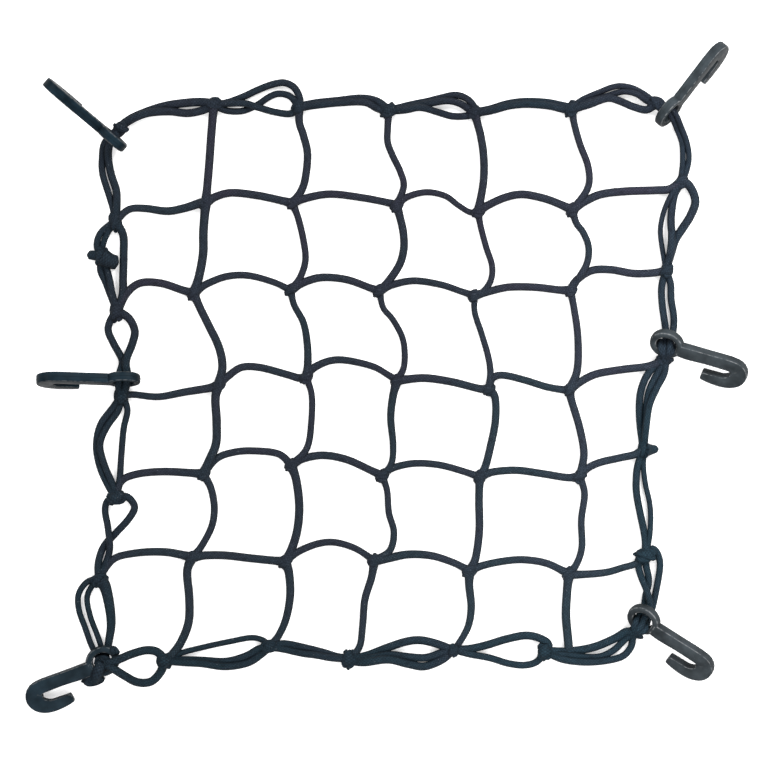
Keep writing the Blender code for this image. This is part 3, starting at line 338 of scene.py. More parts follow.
# Further turns of cord wound beside the rings, over plain meetings and on one long knot.
WRAPS = {
    "top_left": Knot(-183.2, 168.4, 11.2, 10.6, 30, 2.6),
    "low_right": Knot(166.2, -173.4, 12.0, 6.4, 150, 1.0),
    "low_left": Knot(-195.2, -192.6, 11.4, 9.6, 20, 3.4),
    "ring_left": Knot(-187.2, -185.6, 8.0, 6.6, 140, 3.6),
    "tail": Knot(-201.4, -205.2, 15.4, 9.0, 14, 0.0),
    "right_meeting": Knot(187.7, 73.0, 11.4, 10.0, 60, 0.0),
    "low_meeting": Knot(42.6, -185.4, 9.8, 8.8, 70, 0.0),
    "low_plain": Knot(121.3, -187.5, 8.6, 7.8, 20, 0.0),
    "right_low_bight": Knot(171.9, -122.6, 11.0, 9.0, 20, 0.0),
}


def metres(points: np.ndarray) -> np.ndarray:
    """Points of the net's own millimetres as points of the frame in metres."""
    return (points + np.array((NET_SHIFT[0], NET_SHIFT[1], 0.0))) * MM


def path_marks(points: np.ndarray) -> np.ndarray:
    """The distance along a line of points at each point."""
    return np.concatenate(((0.0,), np.cumsum(np.linalg.norm(np.diff(points, axis=0), axis=1))))


def smooth_step(values: np.ndarray) -> np.ndarray:
    """A smooth rise from 0 to 1 over the values 0 to 1."""
    share = np.clip(values, 0.0, 1.0)
    return share * share * (3.0 - 2.0 * share)


def catmull_rom(points: np.ndarray, step: float) -> np.ndarray:
    """Evenly spaced points on a Catmull-Rom curve.

    Args:
        points: the given points, one a row.
        step: the wanted distance between the points that are returned.

    Returns:
        The points on the curve, its two ends included.
    """
    ends = np.vstack((points[:1] * 2.0 - points[1:2], points, points[-1:] * 2.0 - points[-2:-1]))
    share = np.linspace(0.0, 1.0, CURVE_SAMPLES, endpoint=False)[:, None]
    pieces = []
    for index in range(len(points) - 1):
        before, start, stop, after = ends[index:index + 4]
        curve = start * 2.0 + (stop - before) * share
        curve = curve + (before * 2.0 - start * 5.0 + stop * 4.0 - after) * share ** 2
        curve = curve + (start * 3.0 - before - stop * 3.0 + after) * share ** 3
        pieces.append(curve * 0.5)
    fine = np.vstack(pieces + [points[-1:]])
    marks = path_marks(fine)
    count = max(FEWEST_STEPS, round(marks[-1] / step))
    wanted = np.linspace(0.0, marks[-1], count + 1)
    return np.column_stack([np.interp(wanted, marks, fine[:, axis]) for axis in range(fine.shape[1])])


def put(name: str, data: bpy.types.ID) -> bpy.types.Object:
    """An object with this data, in the scene."""
    thing = bpy.data.objects.new(name, data)
    bpy.context.scene.collection.objects.link(thing)
    return thing


def mesh_of(shell: bmesh.types.BMesh, name: str) -> bpy.types.Mesh:
    """A mesh made of a shell, which is freed."""
    data = bpy.data.meshes.new(name)
    shell.to_mesh(data)
    shell.free()
    return data


def baked(thing: bpy.types.Object) -> bpy.types.Mesh:
    """The mesh that an object's modifiers make."""
    graph = bpy.context.evaluated_depsgraph_get()
    graph.update()
    mesh = bpy.data.meshes.new_from_object(thing.evaluated_get(graph), depsgraph=graph)
    thing.modifiers.clear()
    return mesh


@dataclass
class Strand:
    """A line of cord ready to be skinned: its points in millimetres and a radius at each."""

    points: np.ndarray
    radii: np.ndarray
    closed: bool = False


@dataclass
class WoundKnot:
    """A tight knot: cord wound round the crossing, over a core, with a short bight standing out."""

    turns: int = 2
    bights: int = 3
    strand: float = 1.75
    steps: int = 40
    ring_share: float = 0.60
    core_share: float = 0.80
    core_steps: int = 9
    core_end: float = 0.02
    tall: float = 8.4
    nub_steps: int = 7
    nub_reach: float = 1.42
    nub_radius: float = 1.9
    nub_bend: float = 0.6
    nub_gap: float = 0.4
    nub_taper: float = 0.9
    nub_power: int = 6
    turn_between: float = 137.5

    def place(self, knot: Knot, local: np.ndarray) -> np.ndarray:
        """Turn points of the knot's own axes to its heading and put them on the crossing."""
        turn = math.radians(knot.turn)
        x = knot.x + local[:, 0] * math.cos(turn) - local[:, 1] * math.sin(turn)
        y = knot.y + local[:, 0] * math.sin(turn) + local[:, 1] * math.cos(turn)
        return np.column_stack((x, y, local[:, 2] + self.tall / 2.0 + knot.lift))

    def winding(self, knot: Knot, phase: float) -> Strand:
        """The closed line of cord that winds round the crossing."""
        share = np.linspace(0.0, 2.0 * math.pi, self.steps, endpoint=False)
        angle = self.turns * share + phase
        wave = self.bights * share
        reach = knot.wide / 2.0 - self.strand
        lift = self.tall / 2.0 - self.strand
        ring = self.ring_share + (1.0 - self.ring_share) * np.cos(wave)
        along = (knot.long / 2.0 - self.strand) * np.sin(wave)
        local = np.column_stack((along, reach * ring * np.cos(angle), lift * ring * np.sin(angle)))
        return Strand(self.place(knot, local), np.full(self.steps, self.strand), closed=True)

    def core(self, knot: Knot) -> Strand:
        """The body that the windings are drawn tight on, resting on the floor."""
        share = np.linspace(-1.0, 1.0, self.core_steps)
        girth = self.core_share * knot.wide / 2.0
        rise = max(girth - self.tall / 2.0, 0.0)
        local = np.column_stack((share * self.core_share * knot.long / 2.0, share * 0.0, share * 0.0 + rise))
        return Strand(self.place(knot, local), girth * np.sqrt(np.maximum(1.0 - share ** 2, self.core_end)))

    def nub(self, knot: Knot) -> Strand:
        """The short bight that stands out of the knot's far end."""
        share = np.linspace(0.0, 1.0, self.nub_steps)
        out = -share * knot.long / 2.0 * self.nub_reach + share * self.nub_radius
        down = -share * (self.tall / 2.0 - self.nub_radius - self.nub_gap)
        local = np.column_stack((out, share * self.nub_bend, down))
        radii = self.nub_radius * np.sqrt(1.0 - self.nub_taper * share ** self.nub_power)
        return Strand(self.place(knot, local), radii)

    def strands(self, knot: Knot, order: int) -> list:
        """Every strand of one knot, wound differently for each place in the net."""
        return [self.winding(knot, math.radians(self.turn_between * order)), self.core(knot), self.nub(knot)]


@dataclass
class CordLayer:
    """Runs of cord that are laid down one after another, each over those before it."""

    cords: tuple
    knots: dict
    step: float = 1.3
    fullness: float = 1.12
    flare: float = 0.20
    flare_reach: float = 5.0
    free_of_knot: float = 6.0
    fade: float = 7.0
    squash: float = 0.86
    smoothing: float = 2.6
    crest: int = 2
    end_round: float = 2.0
    end_least: float = 0.02
    knot_lift: float = 1.6

    def end_point(self, name: str) -> np.ndarray:
        """The middle of a run's end, with the height of its underside."""
        if name in MEETINGS:
            return np.array(MEETINGS[name])
        knot = INNER_KNOTS.get(name) or RIM_KNOTS[name]
        return np.array((knot.x, knot.y, self.knot_lift))

    def route(self, cord: Cord) -> Strand:
        """One run along its own route, before it meets the others."""
        via = [(point[0], point[1], point[2] if len(point) > 2 else 0.0) for point in cord.via]
        stops = np.vstack((self.end_point(cord.first), via, self.end_point(cord.last)))
        points = catmull_rom(stops, self.step)
        share = np.linspace(0.0, 1.0, len(points))
        last_wide = cord.last_wide or cord.wide
        radii = (cord.wide + (last_wide - cord.wide) * share) * self.fullness / 2.0
        points[:, 2] = np.maximum(points[:, 2], 0.0) + radii
        marks = path_marks(points)
        for name, away in ((cord.first, marks), (cord.last, marks[-1] - marks)):
            if name.startswith("stub"):
                ends = np.clip(away / self.end_round, self.end_least, 1.0)
                radii = radii * np.sqrt(1.0 - (1.0 - ends) ** 2)
            elif name not in MEETINGS:
                radii = radii * (1.0 + self.flare * np.exp(-(away / self.flare_reach) ** 2))
        return Strand(points, radii)

    def lay(self, strands: list, ends: list) -> None:
        """Lift each strand over the ones that were laid before it.

        Args:
            strands: the strands in the order in which they are laid.
            ends: for each strand, the freedom of each point, 0 inside a knot and 1 away from it.
        """
        laid_points = np.zeros((0, 3))
        laid_radii = np.zeros(0)
        laid_free = np.zeros(0)
        for strand, free in zip(strands, ends):
            if len(laid_points):
                across = np.linalg.norm(strand.points[:, None, :2] - laid_points[None, :, :2], axis=2)
                reach = (strand.radii[:, None] + laid_radii[None, :]) * self.squash
                stack = np.sqrt(np.maximum(reach ** 2 - across ** 2, 0.0))
                both = np.minimum(free[:, None], laid_free[None, :])
                wanted = np.where(across < reach, laid_points[None, :, 2] + stack * both, 0.0)
                wanted = np.where(both > 0.0, wanted, 0.0)
                rise = np.maximum(wanted.max(axis=1) - strand.points[:, 2], 0.0) * free
                strand.points[:, 2] += self.soften(rise)
            laid_points = np.vstack((laid_points, strand.points))
            laid_radii = np.concatenate((laid_radii, strand.radii))
            laid_free = np.concatenate((laid_free, free))

    def soften(self, rise: np.ndarray) -> np.ndarray:
        """Spread each rise along the strand, as a stiff cord does, and never under what it rests on."""
        reach = int(3 * self.smoothing)
        offsets = np.arange(-reach, reach + 1)
        weights = np.exp(-(offsets / self.smoothing) ** 2 / 2.0)
        padded = np.pad(rise, reach, mode="edge")
        near = [padded[i + reach - self.crest:i + reach + self.crest + 1].max() for i in range(len(rise))]
        padded = np.pad(np.array(near), reach, mode="edge")
        sums = [(padded[i:i + 2 * reach + 1] * weights).sum() for i in range(len(rise))]
        return np.array(sums) / weights.sum()

    def freedom(self, strand: Strand) -> np.ndarray:
        """How free each point of a strand is of the knots at its two ends."""
        marks = path_marks(strand.points)
        away = np.minimum(marks, marks[-1] - marks)
        return smooth_step((away - self.free_of_knot) / self.fade)

    def strands(self) -> list:
        """Every strand of the layer: the runs as they lie, and the knots."""
        runs = [self.route(cord) for cord in self.cords]
        self.lay(runs, [self.freedom(run) for run in runs])
        total = sum(path_marks(run.points)[-1] for run in runs)
        LOG.info("%d runs of cord, %.2f m in all", len(runs), total * MM)
        maker = WoundKnot()
        for order, knot in enumerate(self.knots.values()):
            runs.extend(maker.strands(knot, order))
        return runs


class TreeBuilder:
    """Adds nodes to a tree and links them, for geometry and for materials alike."""

    def __init__(self, tree: Tree) -> None:
        """Start on a tree."""
        self.tree = tree

    @classmethod
    def group(cls, name: str, kind: str, given: dict, made: dict) -> "TreeBuilder":
        """Start a group of nodes.

        Args:
            name: the group's name.
            kind: the type of its tree.
            given: the socket type of each input, by name.
            made: the socket type of each output, by name.

        Returns:
            A builder on the new group.
        """
        tree = bpy.data.node_groups.new(name, kind)
        for way, sockets in (("INPUT", given), ("OUTPUT", made)):
            for socket, data in sockets.items():
                tree.interface.new_socket(socket, in_out=way, socket_type="NodeSocket" + data)
        return cls(tree)

    def feed(self, node: bpy.types.Node, inputs: object) -> bpy.types.Node:
        """Give inputs links or constants, in a row from the first or in a dict by name or number."""
        pairs = inputs.items() if isinstance(inputs, dict) else enumerate(inputs)
        for place, value in pairs:
            if isinstance(value, Socket):
                self.tree.links.new(value, node.inputs[place])
            else:
                node.inputs[place].default_value = value
        return node

    def add(self, kind: str, inputs: object = (), **settings: object) -> bpy.types.Node:
        """Add a node, set its own properties and feed it."""
        node = self.tree.nodes.new(kind)
        for name, value in settings.items():
            setattr(node, name, value)
        return self.feed(node, inputs)

    def math(self, operation: str, *terms: object) -> Socket:
        """A Math node's output; each term is a socket or a number."""
        return self.add("ShaderNodeMath", terms, operation=operation).outputs[0]

    def vector(self, *parts: object) -> Socket:
        """A Combine XYZ node's output."""
        return self.add("ShaderNodeCombineXYZ", parts).outputs[0]

    def parts(self, vector: Socket) -> object:
        """The three parts of a vector."""
        return self.add("ShaderNodeSeparateXYZ", (vector,)).outputs

    def blend(self, share: object, first: object, second: object) -> Socket:
        """A float Mix node's output."""
        return self.add("ShaderNodeMix", {0: share, 2: first, 3: second}, data_type="FLOAT").outputs[0]

    def blend_colour(self, share: object, first: object, second: object) -> Socket:
        """A colour Mix node's output; a constant colour is a tuple of three."""
        first, second = [(*end, 1.0) if isinstance(end, tuple) else end for end in (first, second)]
        return self.add("ShaderNodeMix", {0: share, 6: first, 7: second}, data_type="RGBA").outputs[2]

    def tint(self, colour: Socket, value: object) -> Socket:
        """A colour made lighter or darker."""
        return self.add("ShaderNodeHueSaturation", {"Color": colour, "Value": value}).outputs[0]

    def noise(self, place: Socket, scale: float, detail: float) -> Socket:
        """A Noise Texture's value at a place."""
        inputs = {"Vector": place, "Scale": scale, "Detail": detail}
        return self.add("ShaderNodeTexNoise", inputs).outputs[0]

    def spread(self, value: object, low: float, high: float, to_low: float = 0.0,
               to_high: float = 1.0) -> Socket:
        """A Map Range node's output, held inside its range."""
        return self.add("ShaderNodeMapRange", (value, low, high, to_low, to_high)).outputs[0]

    def bump(self, height: Socket, distance: float, strength: float) -> Socket:
        """A Bump node's normal."""
        inputs = {"Distance": distance, "Strength": strength, "Height": height}
        return self.add("ShaderNodeBump", inputs).outputs[0]


@dataclass
class CordSkinner:
    """Geometry Nodes that sweep a round section along strands and mark the sheath's own places."""

    step: float = 0.0013
    sides: int = 12

    def tree(self) -> Tree:
        """Build the tree: resample, mark, sweep, realize and set the material.

        Returns:
            The node tree, with the inputs Step, Sides and Material.
        """
        given = {"Geometry": "Geometry", "Step": "Float", "Sides": "Int", "Material": "Material"}
        build = TreeBuilder.group("sweep_cord", "GeometryNodeTree", given, {"Geometry": "Geometry"})
        given = build.add("NodeGroupInput").outputs
        inputs = {"Curve": given["Geometry"], "Length": given["Step"]}
        resample = build.add("GeometryNodeResampleCurve", inputs, mode="LENGTH")
        length = build.add("GeometryNodeSplineParameter").outputs["Length"]
        along = self.mark(build, resample.outputs[0], "along", length)
        inputs = {"Radius": 1.0, "Resolution": given["Sides"]}
        circle = build.add("GeometryNodeCurvePrimitiveCircle", inputs, mode="RADIUS")
        share = build.add("GeometryNodeSplineParameter").outputs["Factor"]
        around = self.mark(build, circle.outputs[0], "around", share)
        radius = build.add("GeometryNodeInputRadius").outputs[0]
        inputs = {"Curve": along, "Profile Curve": around, "Scale": radius, "Fill Caps": True}
        sweep = build.add("GeometryNodeCurveToMesh", inputs)
        turn = build.math("MULTIPLY", self.read(build, "around"), 2.0 * math.pi)
        place = build.vector(build.math("COSINE", turn), build.math("SINE", turn),
                             build.math("DIVIDE", self.read(build, "along"), MM))
        sheath = self.mark(build, sweep.outputs[0], "sheath", place, "FLOAT_VECTOR")
        smooth = build.add("GeometryNodeSetShadeSmooth", {"Geometry": sheath})
        realize = build.add("GeometryNodeRealizeInstances", (smooth.outputs[0],))
        inputs = {"Geometry": realize.outputs[0], "Material": given["Material"]}
        dress = build.add("GeometryNodeSetMaterial", inputs)
        build.add("NodeGroupOutput", (dress.outputs[0],))
        return build.tree

    def mark(self, build: TreeBuilder, source: Socket, name: str,
             value: Socket, kind: str = "FLOAT") -> Socket:
        """Store a named value on the points."""
        inputs = {"Geometry": source, "Name": name, "Value": value}
        settings = {"data_type": kind, "domain": "POINT"}
        return build.add("GeometryNodeStoreNamedAttribute", inputs, **settings).outputs[0]

    def read(self, build: TreeBuilder, name: str) -> Socket:
        """Read a named value back."""
        return build.add("GeometryNodeInputNamedAttribute", {"Name": name}, data_type="FLOAT").outputs[0]

    def guide(self, name: str, strands: list) -> bpy.types.Object:
        """A curve object whose splines are the strands, in metres, with their radii."""
        data = bpy.data.curves.new(name, "CURVE")
        data.dimensions = "3D"
        for strand in strands:
            spline = data.splines.new("POLY")
            spline.points.add(len(strand.points) - 1)
            places = np.column_stack((metres(strand.points), np.ones(len(strand.points))))
            spline.points.foreach_set("co", places.ravel())
            spline.points.foreach_set("radius", strand.radii * MM)
            spline.use_cyclic_u = strand.closed
        return put(name, data)

    def skin(self, name: str, strands: list, tree: Tree, finish: bpy.types.Material) -> bpy.types.Object:
        """Sweep the strands and return the plain mesh.

        Args:
            name: the finished piece's name.
            strands: the strands to sweep.
            tree: the sweeping tree.
            finish: the sheath's material.

        Returns:
            A mesh object at the origin.
        """
        guide = self.guide(name + "_guide", strands)
        sweep = guide.modifiers.new("sweep", "NODES")
        sweep.node_group = tree
        values = {"Step": self.step, "Sides": self.sides, "Material": finish}
        for item in tree.interface.items_tree:
            if item.in_out == "INPUT" and item.name in values:
                sweep[item.identifier] = values[item.name]
        mesh = baked(guide)
        bpy.data.objects.remove(guide, do_unlink=True)
        mesh.name = name
        LOG.info("%s: %d strands, %d faces", name, len(strands), len(mesh.polygons))
        return put(name, mesh)


def new_material(name: str) -> tuple:
    """A new material, with the builder of its tree and its shader."""
    material = bpy.data.materials.new(name)
    material.use_nodes = True
    return material, TreeBuilder(material.node_tree), material.node_tree.nodes["Principled BSDF"]


@dataclass(frozen=True)
class Braid:
    """Two sets of yarn bundles that pass over and under each other round the cord."""

    yarns: float = 4.0
    yarn_relief: float = -0.10
    dip: float = 0.4
    bulge: float = 0.6
    streak_around: float = 2.4
    streak_along: float = 0.10
    streak_noise: tuple = (2.0, 3.0)

    def group(self) -> Tree:
        """Build the group.

        Returns:
            A group with the inputs Carriers and Lay, and the outputs Height, Shade and Streak.
        """
        given = dict.fromkeys(("Carriers", "Lay"), "Float")
        made = dict.fromkeys(("Height", "Shade", "Streak"), "Float")
        build = TreeBuilder.group("braid", "ShaderNodeTree", given, made)
        carriers, lay = build.add("NodeGroupInput").outputs[:2]
        sheath = build.add("ShaderNodeAttribute", attribute_name="sheath").outputs["Vector"]
        cosine, sine, along = build.parts(sheath)
        turn = build.math("DIVIDE", build.math("ARCTAN2", sine, cosine), 2.0 * math.pi)
        round_it = build.math("MULTIPLY", turn, carriers)
        down_it = build.math("MULTIPLY", build.math("DIVIDE", along, lay), carriers)
        ways = [build.math(operation, round_it, down_it) for operation in ("ADD", "SUBTRACT")]
        cells = [build.math("FLOOR", way) for way in ways]
        shares = [build.math("FRACT", way) for way in ways]
        over = build.math("FLOORED_MODULO", build.math("ADD", *cells), 2.0)
        right, left = [build.math("SINE", build.math("MULTIPLY", share, math.pi)) for share in shares]
        swell = build.blend(over, self.swell(build, right, left), self.swell(build, left, right))
        threads = [build.math("COSINE", build.math("MULTIPLY", share, 2.0 * math.pi * self.yarns))
                   for share in shares]
        yarn = build.math("MULTIPLY", build.blend(over, *threads), self.yarn_relief)
        home = [build.math("FLOORED_MODULO", cell, carriers) for cell in cells]
        inputs = {"Vector": build.vector(*home, over)}
        random = build.add("ShaderNodeTexWhiteNoise", inputs, noise_dimensions="3D")
        stretch = build.vector(build.math("MULTIPLY", cosine, self.streak_around),
                               build.math("MULTIPLY", sine, self.streak_around),
                               build.math("MULTIPLY", along, self.streak_along))
        build.add("NodeGroupOutput", {
            "Height": build.math("ADD", swell, yarn),
            "Shade": random.outputs["Value"],
            "Streak": build.noise(stretch, *self.streak_noise),
        })
        return build.tree

    def swell(self, build: TreeBuilder, across: Socket, along: Socket) -> Socket:
        """The height of a yarn bundle that lies on top: round across, and dipping at its two ends."""
        dip = build.math("MULTIPLY_ADD", along, self.dip, 1.0 - self.dip)
        return build.math("MULTIPLY", build.math("POWER", across, self.bulge), dip)


@dataclass(frozen=True)
class NetTonesAndShade:
    """What changes over the whole net: the dye's drift, a tone that grows towards the net's right, a painted
    top light mask for painted shade on sides that turn away from straight up, and stray lint.
    """

    down: tuple = (0.19, -0.19, -0.25, 0.35)
    patch_noise: tuple = (16.0, 3.0)
    patch: tuple = (0.32, 0.68)
    # Span of the normal's upward part over which the painted top light mask rises from 0 on the sides to 1 on
    # top.
    top: tuple = (0.1, 0.85)
    lint_noise: tuple = (900.0, 1.0)
    lint: tuple = (0.70, 0.80, 0.0, 0.6)
    slant: float = -0.35
    # Span of x minus 0.35 times y, in metres, over which the cords' tone goes from its left value to its
    # right value.
    rightward_span: tuple = (0.0, 0.16)

    def group(self) -> Tree:
        """Build the group.

        Returns:
            A group with four outputs, each from 0 to 1: the dye's drift, the painted top light mask, the
            lint, and the share towards the net's right.
        """
        made = dict.fromkeys(("Drift", "Top", "Lint", "Rightward"), "Float")
        build = TreeBuilder.group("net_tones_and_shade", "ShaderNodeTree", {}, made)
        coordinates = build.add("ShaderNodeTexCoord").outputs
        place = coordinates["Object"]
        x, y = build.parts(place)[:2]
        slow = build.spread(build.noise(place, *self.patch_noise), *self.patch)
        drift = build.math("ADD", slow, build.spread(y, *self.down))
        build.add("NodeGroupOutput", {
            "Drift": build.add("ShaderNodeClamp", (drift,)).outputs[0],
            # Painted top light: 1 where a surface faces straight up and 0 on its sides, so that the sides get
            # painted shade.
            "Top": build.spread(build.parts(coordinates["Normal"])[2], *self.top),
            "Lint": build.spread(build.noise(place, *self.lint_noise), *self.lint),
            # Share towards the net's right (and down), from 0 to 1, which makes the cords lighter towards the
            # right.
            "Rightward": build.spread(build.math("MULTIPLY_ADD", y, self.slant, x), *self.rightward_span),
        })
        return build.tree


@dataclass(frozen=True)
class SheathFinish:
    """The braided textile sheath of an elastic cord."""

    name: str
    yarn: tuple
    other_yarn: tuple
    # Painted shade: the dark colour laid into the braid's grooves between yarn bundles.
    painted_groove_shade: tuple
    lint: tuple = (0.10, 0.11, 0.12)
    carriers: float = 8.0
    lay: float = 17.0
    relief: float = 0.00022
    bump_strength: float = 0.8
    # Span of the braid's height over which the painted groove shade gives way to the yarn's colour.
    deep: tuple = (0.15, 0.75)
    bundle_tone: float = 0.12
    streak: tuple = (0.3, 0.7)
    streak_tone: float = 0.30
    gloss: tuple = (0.2, 0.8, 0.72, 0.88)
    shine: float = 0.08
    # Painted shade: the cord's colour on its sides, against 1 on its top, standing in for overhead light.
    painted_side_shade: float = 0.42
    # The cords' tone on the net's left and on its right; the tone grows lighter towards the right.
    left_tone: float = 0.9
    right_tone: float = 1.42

    def material(self, braid: Tree, net_tones_and_shade: Tree) -> bpy.types.Material:
        """Dress the shader with the braid, the dye's slow drift, painted shade in the braid's grooves and on
        the cord's sides, and a tone that grows lighter towards the net's right.
        """
        material, build, shader = new_material(self.name)
        air = build.add("ShaderNodeGroup", node_tree=net_tones_and_shade).outputs
        inputs = {"Carriers": self.carriers, "Lay": self.lay}
        weave = build.add("ShaderNodeGroup", node_tree=braid)
        height, shade, streak = build.feed(weave, inputs).outputs
        yarn = build.blend_colour(air["Drift"], self.yarn, self.other_yarn)
        # Painted shade: the braid's low places take the dark groove colour.
        body = build.blend_colour(build.spread(height, *self.deep), self.painted_groove_shade, yarn)
        tone = build.math("ADD", build.spread(shade, 0.0, 1.0, -self.bundle_tone, self.bundle_tone),
                          build.spread(streak, *self.streak, -self.streak_tone, self.streak_tone))
        # Painted shade: the cord's sides are darkened against its top.
        facing = build.blend(air["Top"], self.painted_side_shade, 1.0)
        # The cords grow lighter towards the net's right.
        rightward_tone = build.blend(air["Rightward"], self.left_tone, self.right_tone)
        value = build.math("MULTIPLY", build.math("ADD", tone, 1.0), build.math("MULTIPLY", facing, rightward_tone))
        build.feed(shader, {
            "Base Color": build.blend_colour(air["Lint"], build.tint(body, value), self.lint),
            "Roughness": build.spread(streak, *self.gloss),
            "Specular IOR Level": self.shine,
            "Normal": build.bump(height, self.relief, self.bump_strength),
        })
        return material


@dataclass(frozen=True)
class PlasticFinish:
    """Satin moulded plastic with worn edges carrying a painted highlight, painted shade on its sides, darker
    on the net's left and greyer and lighter on its right.
    """

    name: str
    colour: tuple
    # The colour towards the net's right, greyer and lighter than the colour on its left.
    right_colour: tuple
    # Pale colour on the rounded edges: part wear, part painted highlight standing in for the lamps' glint.
    edge_wear_and_highlight: tuple
    cloud: tuple = (90.0, 3.0)
    grain: tuple = (2600.0, 2.0)
    scuff: tuple = (420.0, 4.0)
    edge_span: tuple = (0.30, 0.95)
    scuff_span: tuple = (0.40, 0.62)
    # The share of edge wear and painted highlight kept on the net's left.
    left_wear: float = 0.4
    cloud_tone: tuple = (0.32, 0.68, 0.6, 1.4)
    cloud_gloss: tuple = (0.3, 0.7, 0.36, 0.50)
    wear_gloss: float = 0.16
    scuff_share: float = 0.5
    grain_share: float = 0.5
    relief: float = 0.00006
    bump_strength: float = 0.7
    shine: float = 0.03
    # Painted shade: the hook's tone on its sides, against 1 on its top.
    painted_side_shade: float = 0.25
    # Reach and slant of the gradient from the net's left to its right, in metres.
    rightward_reach: float = 0.2
    rightward_slant: float = -0.35

    def material(self, net_tones_and_shade: Tree) -> bpy.types.Material:
        """Dress the shader with fine grain, flow marks, a colour that turns greyer and lighter towards the
        net's right, painted shade on the sides, and worn edges with a painted highlight.
        """
        material, build, shader = new_material(self.name)
        air = build.add("ShaderNodeGroup", node_tree=net_tones_and_shade).outputs
        place = build.add("ShaderNodeTexCoord").outputs["Object"]
        cloud, grain, scuff = [build.noise(place, *kind) for kind in (self.cloud, self.grain, self.scuff)]
        edge = build.add("ShaderNodeAttribute", attribute_name="edge").outputs["Fac"]
        parts = build.parts(place)
        # The hooks turn greyer and lighter towards the net's right.
        over = build.math("MULTIPLY_ADD", parts[1], self.rightward_slant, parts[0])
        rightward_share = build.spread(over, -self.rightward_reach, self.rightward_reach)
        # Edge wear and painted highlight: pale colour on the rounded edges, broken up by scuffs.
        edge_wear_and_highlight = build.spread(edge, *self.edge_span)
        wear_and_highlight = build.math("MULTIPLY", edge_wear_and_highlight, build.spread(scuff, *self.scuff_span))
        # The edge wear and painted highlight grow stronger towards the net's right.
        rightward_wear = build.math("MULTIPLY_ADD", rightward_share, 1.0 - self.left_wear, self.left_wear)
        wear_and_highlight = build.math("MULTIPLY", wear_and_highlight, rightward_wear)
        # Painted shade: the hook's sides are darkened against its top.
        facing = build.blend(air["Top"], self.painted_side_shade, 1.0)
        tone = build.math("MULTIPLY", build.spread(cloud, *self.cloud_tone), facing)
        base = build.tint(build.blend_colour(rightward_share, self.colour, self.right_colour), tone)
        satin = build.spread(cloud, *self.cloud_gloss)
        fine = build.math("MULTIPLY", grain, self.grain_share)
        height = build.math("MULTIPLY_ADD", scuff, self.scuff_share, fine)
        build.feed(shader, {
            # Painted highlight and wear: the pale edge colour laid over the base.
            "Base Color": build.blend_colour(wear_and_highlight, base, self.edge_wear_and_highlight),
            "Roughness": build.math("MULTIPLY_ADD", wear_and_highlight, self.wear_gloss, satin),
            "Specular IOR Level": self.shine,
            "Normal": build.bump(height, self.relief, self.bump_strength),
        })
        return material


